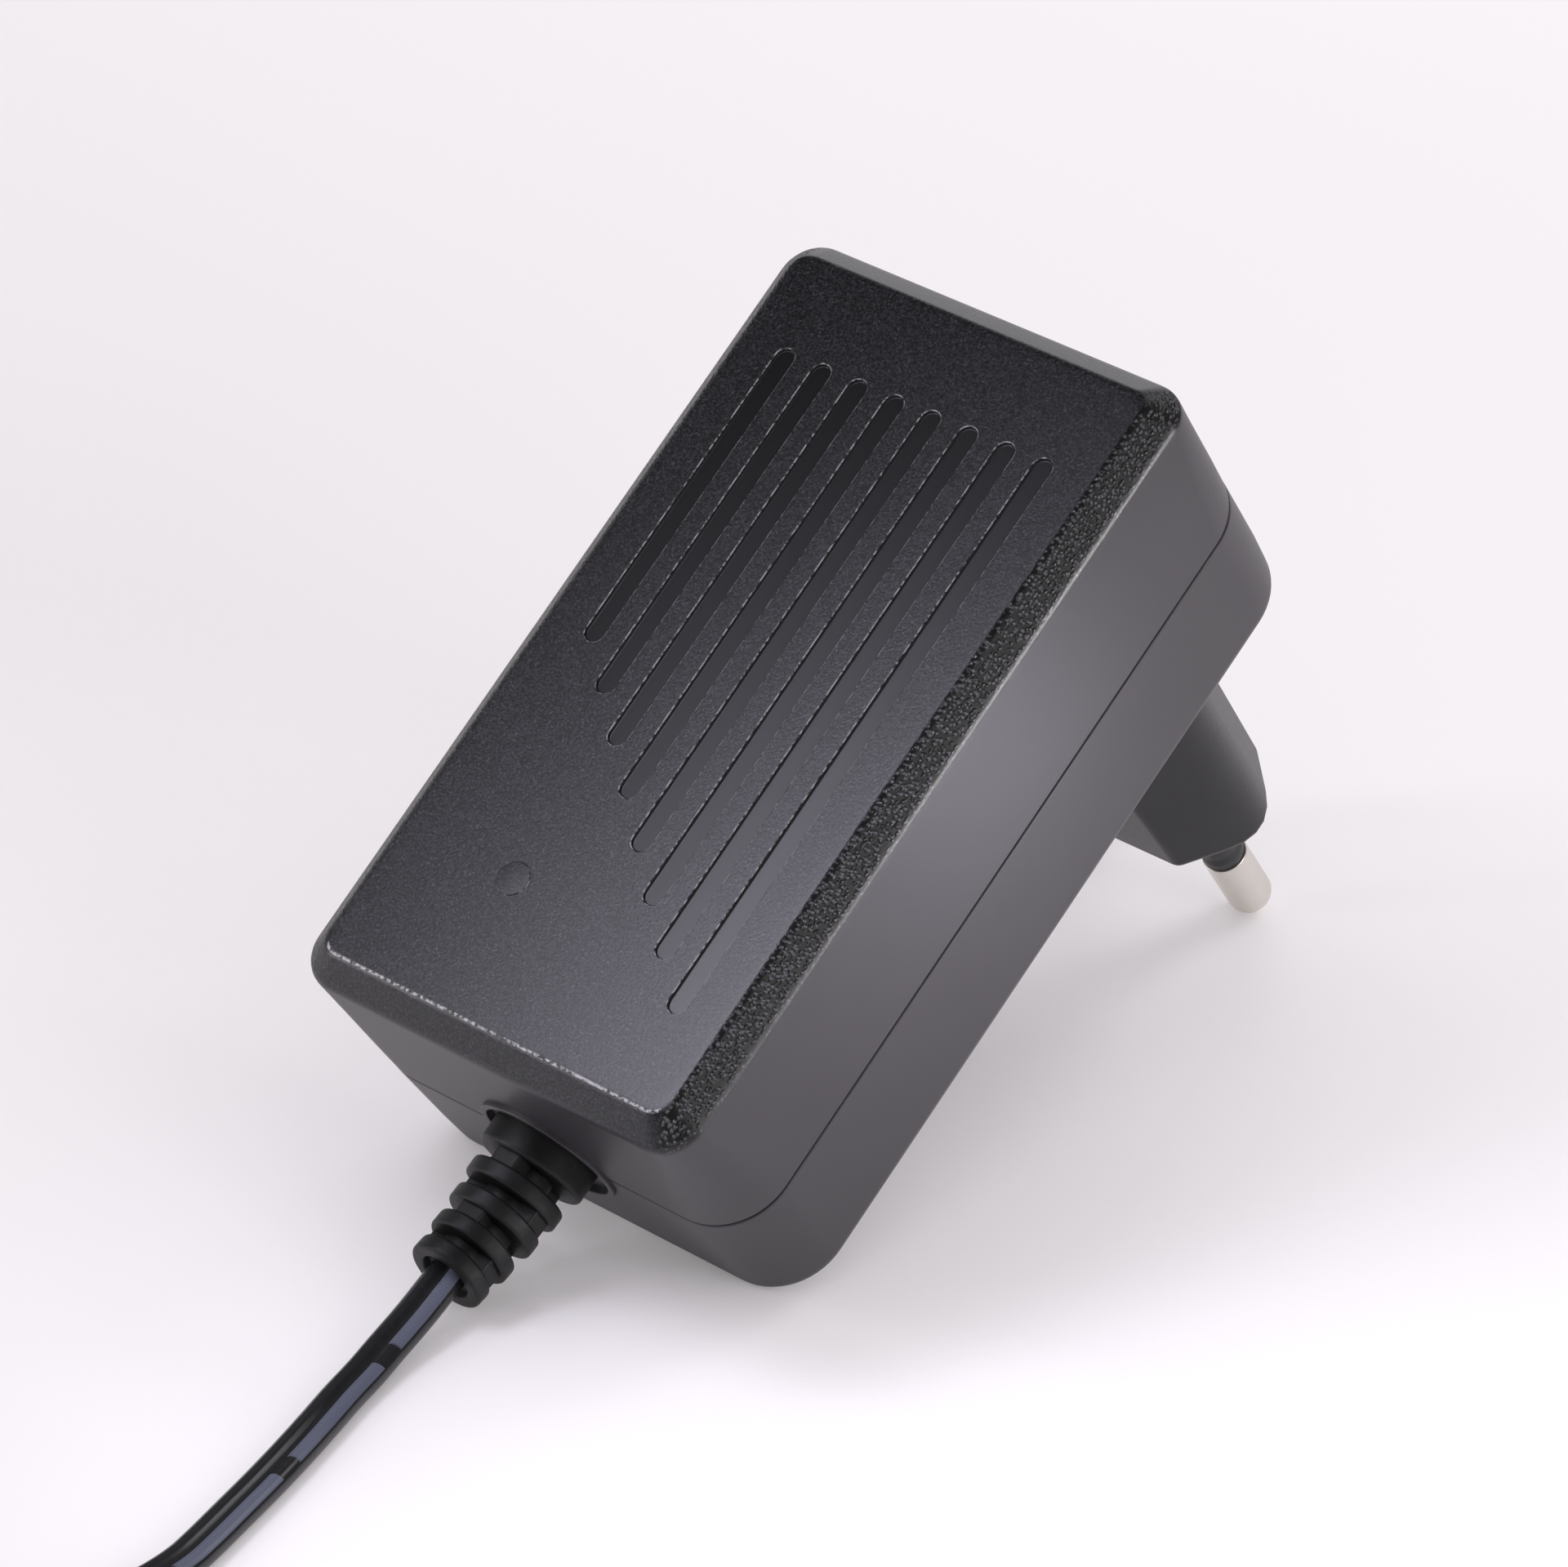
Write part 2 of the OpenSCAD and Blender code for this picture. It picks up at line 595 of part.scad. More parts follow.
module round_can(d, h) {
  rotate_extrude() polygon([
    [0, 0], [d / 2 - 0.3, 0], [d / 2, 0.3], [d / 2, 1.4], [d / 2 - 0.35, 1.8], [d / 2, 2.2],
    [d / 2, h - 0.5], [d / 2 - 0.5, h], [d / 2 - 0.9, h], [d / 2 - 1.1, h - 0.15], [0, h - 0.15]]);
}

// A wound drum choke: two flanges with the winding between them
module drum_choke(d, h) {
  rotate_extrude() polygon([
    [0, 0], [d / 2, 0], [d / 2, h * 0.1], [d * 0.4, h * 0.12], [d * 0.4, h * 0.88], [d / 2, h * 0.9],
    [d / 2, h], [0, h]]);
}

module transformer_core() color([0.2, 0.2, 0.2]) stand() translate([0, trafo_y, trafo_z]) difference() {
  translate([-core_w / 2, -core_l / 2, -core_t / 2]) cube([core_w, core_l, core_t]);
  for (side = [-1, 1]) translate([side * (leg_w + window_w) / 2 - window_w / 2, -window_l / 2, -core_t])
    cube([window_w, window_l, 2 * core_t]);
}

module box_tube(x, y, z, hole_x, hole_z) {
  difference() {
    translate([-x / 2, -y / 2, -z / 2]) cube([x, y, z]);
    translate([-hole_x / 2, -y, -hole_z / 2]) cube([hole_x, 2 * y, hole_z]);
  }
}

module transformer_bobbin() color([0.12, 0.12, 0.13]) stand() translate([0, trafo_y, trafo_z]) {
  inner_x = leg_w + 2 * bobbin_fit;
  inner_z = core_t + 2 * bobbin_fit;
  flange_x = inner_x + 2 * (bobbin_t + winding_x);
  flange_z = inner_z + 2 * (bobbin_t + winding_z);
  length = window_l - 2 * bobbin_fit;
  box_tube(inner_x + 2 * bobbin_t, length, inner_z + 2 * bobbin_t, inner_x, inner_z);
  for (side = [-1, 1]) {
    translate([0, side * (length - bobbin_t) / 2, 0]) box_tube(flange_x, bobbin_t, flange_z, inner_x, inner_z);
    translate([0, side * (length + core_l + 2 * rail_out - bobbin_t) / 4, core_t / 2 + bobbin_fit + rail_h / 2])
      cube([core_w - 2, (core_l - length + 2 * rail_out + bobbin_t) / 2, rail_h], center = true);
  }
}

module transformer_winding() color([0.85, 0.7, 0.15]) stand() translate([0, trafo_y, trafo_z]) {
  inner_x = leg_w + 2 * (bobbin_fit * 2 + bobbin_t);
  inner_z = core_t + 2 * (bobbin_fit * 2 + bobbin_t);
  box_tube(inner_x + 2 * winding_x - 0.6, window_l - 2 * bobbin_t - 0.3, inner_z + 2 * winding_z - 0.6, inner_x, inner_z);
}

module bulk_capacitors() color([0.16, 0.14, 0.2]) stand()
  for (side = [-1, 1]) on_board(side * can_x, bulk_y) round_can(can_d, tall_h);

module output_capacitors() color([0.1, 0.16, 0.2]) stand()
  for (x = [out_can_x, out_can_x - out_can_d - part_gap]) on_board(x, output_y) round_can(out_can_d, tall_h);

module input_choke() color([0.55, 0.3, 0.12]) stand() on_board(0, bulk_y) drum_choke(choke_d, low_h);

module output_inductor() color([0.55, 0.3, 0.12]) stand()
  on_board(board_w / 2 - part_gap - inductor_d / 2, inductor_y) drum_choke(inductor_d, low_h);

module fuse() color([0.45, 0.24, 0.14]) stand() on_board(-fuse_x, entry_y) cylinder(d = fuse_d, h = low_h * 0.75);

module filter_capacitor() color([0.85, 0.72, 0.2]) stand() {
  low = -fuse_x + fuse_d / 2 + part_gap;
  high = bridge_x - bridge_d / 2 - part_gap;
  on_board((low + high) / 2, entry_y) translate([(low - high) / 2, -bridge_d * 0.36, 0])
    cube([high - low, bridge_d * 0.72, low_h * 1.1]);
}

module bridge_rectifier() color([0.1, 0.1, 0.1]) stand() on_board(bridge_x, entry_y) difference() {
  cylinder(d = bridge_d, h = low_h * 0.55);
  translate([bridge_d * 0.42, -bridge_d, -1]) cube([bridge_d, 2 * bridge_d, low_h]);
}

// A small moulded chip package with a row of legs on each side
module chip(w, l, h, legs) {
  stand_off = 0.6;
  translate([-w / 2, -l / 2, stand_off]) cube([w, l, h]);
  for (side = [-1, 1], i = [0 : legs - 1])
    translate([side * (w / 2 + 0.15) - 0.25, (i - (legs - 1) / 2) * foot_pitch - 0.25, 0]) cube([0.5, 0.5, stand_off + h / 2]);
}

module controller_chip() color([0.08, 0.08, 0.08]) stand()
  on_board(-strip_x, trafo_y + core_l / 2 - chip_l / 2 - 1) chip(chip_w, chip_l, chip_h, 4);

module optocoupler() color([0.85, 0.85, 0.82]) stand()
  on_board(strip_x, trafo_y - core_l / 2 + 3.1) chip(chip_w, chip_l * 0.48, chip_h, 2);

module safety_capacitor() color([0.15, 0.35, 0.7]) stand() {
  disc = core_l / 2 - 0.1;
  thick = strip - 3;
  on_board(strip_x, trafo_y + disc / 2) {
    translate([-thick / 2, 0, disc / 2 + 1]) rotate([0, 90, 0]) cylinder(d = disc, h = thick);
    for (y = [-2.5, 2.5]) translate([0, y, 0]) cylinder(d = 0.7, h = disc / 2);
  }
}

module heat_sink() color([0.75, 0.76, 0.78]) stand()
  on_board(-board_w / 2 + 1.6, output_y + out_can_d / 2 - 1.5 - sink_l / 2) {
    translate([-sink_t / 2, -sink_l / 2, 0]) cube([sink_t, sink_l, tall_h - 0.5]);
    translate([-sink_t / 2, -sink_l / 2, tall_h - 0.5 - sink_t]) cube([sink_t * 3.3, sink_l, sink_t]);
  }

module output_rectifier() color([0.1, 0.1, 0.1]) stand()
  on_board(-board_w / 2 + 1.6 + sink_t / 2, output_y + out_can_d / 2 - 1.5 - sink_l / 2) {
    translate([0, -sink_l * 0.385, foot_h]) cube([body_w, sink_l * 0.77, tall_h - 2 * foot_h - 0.5]);
    for (y = [-foot_pitch, 0, foot_pitch]) translate([body_w / 2, y - 0.4, 0]) cube([0.5, 0.8, foot_h + 0.2]);
  }

module insulating_card() color([0.9, 0.88, 0.8]) stand()
  on_board(0, card_y) translate([2.5 - board_w / 2, -card_t / 2, 0]) cube([board_w - 5, card_t, tall_h + 0.5]);

module mains_wire(side, tint) color(tint) stand() {
  tail_x = pin_pitch / 2 + (boss_end_wall + pin_tail) * tan(pin_lean);
  end_x = board_w / 2 - 0.2 - wire_d / 2;
  top = -boss_h + boss_end_wall + pin_tail + 0.05;
  sweep([for (p = [[tail_x, plug_y, top], [tail_x, plug_y, top + 5], [tail_x + 0.4, plug_y + 0.5, wall / 2 - 2],
      [tail_x + 1.5, plug_y + 1.5, wall + 1.3], [(tail_x + end_x) / 2, (plug_y + entry_y) / 2 + 0.7, wall + 2.4],
      [end_x - 0.6, entry_y - 1, wall + 4.5], [end_x, entry_y, wall + 8], [end_x, entry_y, board_z]])
    [side * p[0], p[1], p[2]]], wire_d, wire_d, [1, 0, 0]);
}

module output_wire(side, tint) color(tint) stand() {
  x = wire_x;
  y = wall + flange_l;
  rise = board_z - relief_z;
  sweep([for (p = [[x, y - 1, 0], [x, y + 1.5, 0], [x + 1, y + 3, rise * 0.17], [x + 1.5, y + 4, rise * 0.44],
      [x + 1.5, y + 4, rise * 0.8], [x + 1.5, y + 4, rise]])
    [side * p[0], p[1], relief_z + p[2]]], wire_d - 0.3, wire_d - 0.3, [1, 0, 0]);
}

front_cover();
rear_case();
pin(-1);  // pin_left
pin(1);  // pin_right
sleeve(-1);  // sleeve_left
sleeve(1);  // sleeve_right
strain_relief();
dc_lead();
dc_lead_coil();
dc_lead_tail();
lead_tie();
plug_grip();
barrel_contact();
barrel_insulator();
centre_contact();
circuit_board();
transformer_core();
transformer_bobbin();
transformer_winding();
bulk_capacitors();
input_choke();
fuse();
filter_capacitor();
bridge_rectifier();
controller_chip();
optocoupler();
safety_capacitor();
heat_sink();
output_rectifier();
output_capacitors();
output_inductor();
insulating_card();
mains_wire(-1, [0.15, 0.3, 0.65]);  // mains_wire_left
mains_wire(1, [0.45, 0.26, 0.12]);  // mains_wire_right
output_wire(1, [0.7, 0.1, 0.1]);  // output_wire_positive
output_wire(-1, [0.08, 0.08, 0.08]);  // output_wire_negative
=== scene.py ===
import json
import math
import bmesh
import bpy
from mathutils import Matrix, Vector


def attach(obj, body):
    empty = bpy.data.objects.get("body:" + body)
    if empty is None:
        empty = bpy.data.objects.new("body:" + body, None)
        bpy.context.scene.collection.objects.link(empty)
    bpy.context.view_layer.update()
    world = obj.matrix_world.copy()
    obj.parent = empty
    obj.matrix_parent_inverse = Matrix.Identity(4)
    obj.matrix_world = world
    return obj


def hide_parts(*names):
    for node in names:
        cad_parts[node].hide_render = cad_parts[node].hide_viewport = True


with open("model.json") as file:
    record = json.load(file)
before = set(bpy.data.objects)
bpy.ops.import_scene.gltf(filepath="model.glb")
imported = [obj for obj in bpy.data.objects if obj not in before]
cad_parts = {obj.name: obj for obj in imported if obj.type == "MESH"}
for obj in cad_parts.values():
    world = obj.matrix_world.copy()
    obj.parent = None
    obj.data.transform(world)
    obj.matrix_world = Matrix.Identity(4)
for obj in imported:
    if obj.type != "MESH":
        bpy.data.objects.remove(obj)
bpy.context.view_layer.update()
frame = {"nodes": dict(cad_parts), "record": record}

nodes = frame["nodes"]
mm = 0.001

# The housing's own axes: x across, y from the cord end, z from the rear face to the front, in mm
housing = {"length": 75, "width": 41.7, "depth": 29, "seam": 12.9, "gap": 0.2, "chamfer": 2.2,
           "coverDraft": 0.33, "rearDraft": 0.3, "rearRound": 1.5, "seamCorner": 6, "shoulderCorner": 3.4,
           "frontCorner": 1.8}
plug = {"y": 60, "boss": 22.5, "flat": 25.8, "width": 13.7, "tip": 5, "draft": 0.6, "pitch": 18.6, "tipPitch": 17.5,
        "pin": 19, "sleeve": 10, "pinD": 4, "sleeveD": 3.5}

# The lean of the housing on its pin tips and rear edge, as in the CAD
footY = housing["rearDraft"] + housing["rearRound"]
tipR = plug["pinD"] / 2
tipZ = -(plug["boss"] + plug["pin"] - tipR)
reachY, reachZ = plug["y"] - footY, housing["rearRound"] - tipZ
lean = math.atan2(reachZ, reachY) + math.asin((tipR - housing["rearRound"]) / math.hypot(reachY, reachZ))
floorZ = housing["rearRound"] - footY * math.sin(lean) - housing["rearRound"] * math.cos(lean)
nearY = housing["coverDraft"] * math.cos(lean) - (housing["depth"] - housing["chamfer"]) * math.sin(lean)
farY = plug["y"] * math.cos(lean) - tipZ * math.sin(lean) + tipR
stand = Matrix.Translation((0, -(nearY + farY) / 2 * mm, floorZ * mm)) @ Matrix.Rotation(lean, 4, "X")


def stood(p):
    return stand @ (Vector(p) * mm)


print("camera")
cam = {"place": (0.355246, -0.426889, 0.359867), "right": (0.75325, 0.65738, 0.02169),
       "look": (-0.55573, 0.65372, -0.51363), "lens": 182.553, "sensor": 36}


def addCamera(c):
    data = bpy.data.cameras.new("camera")
    data.sensor_fit, data.sensor_width, data.lens = "HORIZONTAL", c["sensor"], c["lens"]
    data.clip_start, data.clip_end = 0.01, 20
    obj = bpy.data.objects.new("camera", data)
    bpy.context.scene.collection.objects.link(obj)
    back = -Vector(c["look"]).normalized()
    right = Vector(c["right"]).normalized()
    up = back.cross(right).normalized()
    right = up.cross(back)
    turn = Matrix((right, up, back)).transposed().to_4x4()
    obj.matrix_world = Matrix.Translation(c["place"]) @ turn
    bpy.context.scene.camera = obj


addCamera(cam)


class Sock:
    # One socket of a shader tree, with the operators that add Math nodes
    def __init__(self, tree, out=None):
        self.tree, self.out = tree, out

    def node(self, kind, settings=None, inputs=None, out=0):
        made = self.tree.nodes.new(kind)
        for name, value in (settings or {}).items():
            if name == "stops":
                ramp = made.color_ramp
                while len(ramp.elements) < len(value):
                    ramp.elements.new(0.5)
                for stop, (place, colour) in zip(ramp.elements, value):
                    stop.position, stop.color = place, (*colour, 1) if len(colour) == 3 else colour
            else:
                setattr(made, name, value)
        for name, value in (inputs or {}).items():
            if isinstance(value, Sock):
                self.tree.links.new(value.out, made.inputs[name])
            elif value is not None:
                made.inputs[name].default_value = value
        return Sock(self.tree, made.outputs[out])

    def math(self, operation, a, b=0.0, c=0.0, clamp=False):
        return self.node("ShaderNodeMath", {"operation": operation, "use_clamp": clamp}, {0: a, 1: b, 2: c})

    def __add__(self, other):
        return self.math("ADD", self, other)

    def __sub__(self, other):
        return self.math("SUBTRACT", self, other)

    def __rsub__(self, other):
        return self.math("SUBTRACT", other, self)

    def __mul__(self, other):
        return self.math("MULTIPLY", self, other)

    def __truediv__(self, other):
        return self.math("DIVIDE", self, other)

    def __rtruediv__(self, other):
        return self.math("DIVIDE", other, self)

    def __pow__(self, other):
        return self.math("POWER", self, other)

    __radd__ = __add__
    __rmul__ = __mul__

    def between(self, low, high, toLow=0.0, toHigh=1.0):
        return self.node("ShaderNodeMapRange", {"clamp": True, "interpolation_type": "SMOOTHSTEP"},
                         {"Value": self, "From Min": low, "From Max": high, "To Min": toLow, "To Max": toHigh})

    def mix(self, factor, a, b):
        def colour(v):
            return v if isinstance(v, Sock) else (*v, 1)
        return self.node("ShaderNodeMix", {"data_type": "RGBA"}, {0: factor, 6: colour(a), 7: colour(b)}, out=2)

    def noise(self, scale, detail=2.0, rough=0.5, at=None):
        return self.node("ShaderNodeTexNoise", {}, {"Vector": at or self, "Scale": scale, "Detail": detail,
                                                    "Roughness": rough}, out=0)

    def cells(self, scale, feature="F1", at=None, smooth=0.0):
        return self.node("ShaderNodeTexVoronoi", {"feature": feature}, {"Vector": at or self, "Scale": scale}, out=0)

    def bump(self, height, depth, strength=1.0, under=None):
        return self.node("ShaderNodeBump", {}, {"Height": height, "Distance": depth, "Strength": strength,
                                                "Normal": under})

    def axes(self):
        split = self.node("ShaderNodeSeparateXYZ", {}, {0: self})
        outs = split.out.node.outputs
        return [Sock(self.tree, outs[i]) for i in range(3)]


def material(name, build, **fixed):
    mat = bpy.data.materials.new(name)
    mat.use_nodes = True
    tree = mat.node_tree
    shader = tree.nodes["Principled BSDF"]
    place = Sock(tree).node("ShaderNodeTexCoord", out="Object")
    for key, value in {**fixed, **build(place)}.items():
        if isinstance(value, Sock):
            tree.links.new(value.out, shader.inputs[key])
        elif isinstance(value, tuple):
            shader.inputs[key].default_value = (*value, 1)
        else:
            shader.inputs[key].default_value = value
    return mat


print("materials")
front = {"dark": (0.004, 0.004, 0.005), "light": (0.044, 0.043, 0.055), "grain": 4300, "depth": 0.00003}
# highlightRim: light grey for a painted highlight, broken into dots, along the rims of the front face and its slots and
# round the blank disc's edge
highlightRim = {"light": (0.32, 0.31, 0.33), "dots": 2600}
side = {"dark": (0.028, 0.025, 0.030), "light": (0.036, 0.033, 0.039)}
# The pebbled grain's dark colour is painted shade in the gaps between pebbles, its light colour painted highlight on
# their tops
leather = {"dark": (0.003, 0.003, 0.003), "light": (0.055, 0.054, 0.063), "cells": 3300, "depth": 0.00012}


def satin(p):
    return p.mix(p.noise(60, 3, 0.6), side["dark"], side["light"])


def inHousing(p):
    # From the leaning part back to the housing's own axes
    return p.node("ShaderNodeMapping", {"vector_type": "TEXTURE"}, {
        "Vector": p, "Location": tuple(stand.translation), "Rotation": (lean, 0, 0)})


def frontPlastic(place):
    # Front face grain with painted glint specks, leathery grain on the long chamfers with painted shade in the pebble
    # gaps and painted highlights on the pebble tops, a painted highlight dotted along the rims of the front face and
    # its slots and round the disc's edge, smoother sides and groove floors
    p = inHousing(place)
    x, y, z = p.axes()
    across = x.math("ABSOLUTE", x)
    flat = z.between(0.0264, 0.0267)
    chamfer = flat * across.between(0.0181, 0.01825)
    trough = z.between(0.02882, 0.02872) * across.between(0.0178, 0.0176) * y.between(0.008, 0.009) * y.between(0.067, 0.066)
    face = flat * (1 - chamfer) * (1 - trough)
    speck = p.noise(front["grain"], 3, 0.7)
    # Painted glints: bright specks in the front grain's colour stand for light caught by the grain; the finer speck
    # beside them is the grain's own tone
    glintSpecks = p.noise(4700, 1, 0.5).between(0.60, 0.68)
    top = p.mix((speck.between(0.42, 0.62) * 0.38 + glintSpecks * 0.6) * face, front["dark"], front["light"])
    # Painted highlight: light grey dots on the front face's rounded rim, the upper edges of the slots and the blank
    # disc's edge
    paintedHighlight = across.between(0.0178, 0.0176) * y.between(0.068, 0.067) * p.noise(highlightRim["dots"], 2, 0.6).between(0.4, 0.6)
    paintedHighlight = paintedHighlight * (z.between(0.02889, 0.02892) * z.between(0.02899, 0.02897) + z.between(0.02903, 0.02905) * z.between(0.02914, 0.02911))
    long = p.node("ShaderNodeMapping", {}, {"Vector": p, "Scale": (1, 0.7, 1)})
    # Painted shade in the gaps between pebbles and painted highlights on their tops, mixed into the long chamfers'
    # colour
    pebble = 1 - p.cells(leather["cells"], at=long).between(0.1, 0.62)
    pebbleShading = p.mix(pebble.between(0.35, 0.9), leather["dark"], leather["light"])
    fine = p.bump(p.noise(3000, 2, 0.6), 0.000005, 0.5)
    grain = p.bump(speck * face, front["depth"], 0.8, under=fine)
    skin = p.bump(pebble * chamfer * z.between(0.0269, 0.0271), leather["depth"], 0.9, under=grain)
    return {"Base Color": p.mix(paintedHighlight, p.mix(flat, satin(p), p.mix(chamfer, top, pebbleShading)), highlightRim["light"]),
            "Roughness": face * (speck * 0.1 - 0.1) - trough * 0.08 - chamfer * 0.06 + 0.42, "Normal": skin}


def rearPlastic(p):
    fine = p.bump(p.noise(3000, 2, 0.6), 0.000006, 0.5)
    return {"Base Color": satin(p), "Roughness": p.noise(60) * 0.08 + 0.38, "Normal": fine}


def softBlack(dark, light, rough, grain, depth):
    def build(p):
        fine = p.noise(grain, 3, 0.6)
        dust = p.noise(180, 4, 0.7)
        return {"Base Color": p.mix(dust.between(0.35, 0.75), dark, light),
                "Roughness": fine * 0.12 + rough, "Normal": p.bump(fine, depth, 0.6)}
    return build


def metal(tone, rough):
    def build(p):
        wear = p.noise(400, 4, 0.6)
        scratch = p.node("ShaderNodeTexNoise", {}, {"Vector": p.node("ShaderNodeMapping", {}, {
            "Vector": p, "Scale": (1, 1, 0.1)}), "Scale": 3000.0, "Detail": 2.0})
        light = tuple(min(1, 1.08 * c) for c in tone)
        return {"Base Color": p.mix(wear, tone, light), "Roughness": wear * 0.15 + rough,
                "Normal": p.bump(scratch, 0.000004, 0.4)}
    return build


def plainPart(tone, rough, grain=1500, depth=0.00001):
    def build(p):
        n = p.noise(grain, 3, 0.6)
        big = p.noise(120, 3, 0.6)
        dark = tuple(0.8 * c for c in tone)
        return {"Base Color": p.mix(big, dark, tone), "Roughness": n * 0.15 + rough, "Normal": p.bump(n, depth, 0.5)}
    return build


stripe = {"dash": 0.0163, "part": 0.84, "start": 0.004, "colour": (0.12, 0.135, 0.19)}


def leadSkin(p):
    # Glossy black, with a dashed stripe of fine hatching along the top of one core
    u, v, w = p.node("ShaderNodeUVMap", {"uv_map": "along"}).axes()
    dash = ((v + stripe["start"]) / stripe["dash"]).math("FRACT", (v + stripe["start"]) / stripe["dash"])
    dash = dash.between(stripe["part"] + 0.01, stripe["part"] - 0.01)
    band = u.between(0.515, 0.525) * u.between(0.668, 0.658)
    hatch = p.math("SINE", (v * 30000 + u * 60)).between(-0.4, 0.6, 0.45, 1)
    fine = p.noise(1500, 3, 0.6)
    mask = dash * band
    black = p.mix(fine, (0.010, 0.010, 0.011), (0.018, 0.018, 0.020))
    return {"Base Color": p.mix(mask * hatch, black, stripe["colour"]),
            "Roughness": mask * 0.12 + 0.22 + fine * 0.06, "Normal": p.bump(p.noise(400, 3, 0.6), 0.00003, 0.4)}


mats = {
    "front": material("frontPlastic", frontPlastic),
    "rear": material("rearPlastic", rearPlastic),
    "boss": material("bossPlastic", softBlack((0.007, 0.007, 0.008), (0.011, 0.011, 0.012), 0.3, 2500, 0.000008), IOR=1.4),
    "sleeve": material("sleeveBlack", softBlack((0.012, 0.012, 0.013), (0.02, 0.02, 0.021), 0.4, 2500, 0.000008)),
    "relief": material("reliefRubber", softBlack((0.005, 0.005, 0.005), (0.011, 0.011, 0.012), 0.42, 2200, 0.00003), IOR=1.36),
    "lead": material("leadSkin", leadSkin),
    "tie": material("tieBlack", softBlack((0.015, 0.015, 0.015), (0.03, 0.03, 0.03), 0.5, 1500, 0.00003)),
    "pin": material("pinNickel", metal((0.70, 0.67, 0.62), 0.28), Metallic=1.0),
    "insulator": material("insulatorPlastic", plainPart((0.75, 0.6, 0.06), 0.35)),
}


def addObject(name, mesh, replaced, mat, place=stand):
    mesh.transform(place)
    obj = bpy.data.objects.new(name, mesh)
    bpy.context.scene.collection.objects.link(obj)
    mesh.materials.clear()
    mesh.materials.append(mats[mat])
    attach(obj, "root")
    if replaced:
        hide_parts(*replaced)
    return obj


def finished(mesh, name, sharp):
    # Smooth shading that keeps large faces flat up to their rounded edges
    for face in mesh.polygons:
        face.use_smooth = True
    mesh.set_sharp_from_angle(angle=math.radians(sharp))
    work = bpy.data.objects.new("work", mesh)
    bpy.context.scene.collection.objects.link(work)
    weigh = work.modifiers.new("weigh", "WEIGHTED_NORMAL")
    weigh.keep_sharp, weigh.weight = True, 70
    made = bpy.data.meshes.new_from_object(work.evaluated_get(bpy.context.evaluated_depsgraph_get()))
    bpy.data.objects.remove(work)
    bpy.data.meshes.remove(mesh)
    made.name = name
    return made


def meshFrom(name, bm, sharp=35):
    bmesh.ops.recalc_face_normals(bm, faces=bm.faces)
    mesh = bpy.data.meshes.new(name + "Raw")
    bm.to_mesh(mesh)
    bm.free()
    return finished(mesh, name, sharp)


def skin(bm, rings, move=None, capped=(True, True)):
    # Joins rings of points, given in mm, into one closed skin
    made = []
    for ring in rings:
        made.append([bm.verts.new((move @ Vector(p) if move else Vector(p)) * mm) for p in ring])
    count = len(made[0])
    for a, b in zip(made, made[1:]):
        for i in range(count):
            k = (i + 1) % count
            bm.faces.new((a[i], a[k], b[k], b[i]))
    if capped[0]:
        bm.faces.new(made[0][::-1])
    if capped[1]:
        bm.faces.new(made[-1])
    return made


def caseRing(z, inset, radius, steps=14):
    points = []
    x, y = housing["width"] / 2 - inset - radius, housing["length"] / 2 - inset - radius
    for sx, sy, start in ((1, -1, -90), (1, 1, 0), (-1, 1, 90), (-1, -1, 180)):
        for i in range(steps + 1):
            a = math.radians(start + 90 * i / steps)
            points.append((sx * x + radius * math.cos(a), housing["length"] / 2 + sy * y + radius * math.sin(a), z))
    return points


def lathe(bm, profile, move=None, steps=48):
    # Turns a profile of (radius, height) points, in mm, round its own z
    rings = [[(r * math.cos(2 * math.pi * i / steps), r * math.sin(2 * math.pi * i / steps), z) for i in range(steps)]
             for r, z in profile if r > 1e-6]
    capped = [profile[0][0] <= 1e-6 or True, profile[-1][0] <= 1e-6 or True]
    skin(bm, rings, move, capped)


def turned(*corners, steps=5):
    # A profile with rounded corners: each corner is (radius, height, rounding)
    out = []
    for i, (r, z, rounding) in enumerate(corners):
        here = Vector((r, z))
        if rounding <= 0 or i in (0, len(corners) - 1):
            out.append((r, z))
            continue
        before, after = Vector(corners[i - 1][:2]) - here, Vector(corners[i + 1][:2]) - here
        half = before.angle(after) / 2
        reach = min(rounding / math.tan(half), 0.49 * min(before.length, after.length))
        start, end = here + before.normalized() * reach, here + after.normalized() * reach
        for k in range(steps + 1):
            t = k / steps
            out.append(tuple((1 - t) ** 2 * start + 2 * t * (1 - t) * here + t ** 2 * end))
    return out


print("lead")
lead = {"width": 3.5, "thick": 1.8, "pitch": 3.6, "layers": 2, "columns": 4, "middle": 20.3, "at": (15, -134),
        "base": 0.4, "ease": 45, "enter": 160}
relief = {"length": 13.6, "collar": 2.6, "bend": 15, "rings": 4, "rise": 0.5, "first": 8.5, "last": 6.9, "ring": 1.5,
          "core": 4.4, "bridge": 2.4, "collarD": 9.5}
reliefZ = housing["seam"] + relief["rise"]
bendR = (relief["length"] - relief["collar"]) / math.radians(relief["bend"])


def reliefPlace(s):
    # Where the strain relief's middle line is at a length along it, with z outwards
    a = 0 if s <= relief["collar"] else math.radians(relief["bend"]) * (s - relief["collar"]) / (
        relief["length"] - relief["collar"])
    out = min(s, relief["collar"]) + bendR * math.sin(a)
    up = bendR * (1 - math.cos(a))
    return Matrix.Translation((0, -out, reliefZ + up)) @ Matrix.Rotation(math.pi / 2 - a, 4, "X")


def ease(t):
    return t * t * (3 - 2 * t)


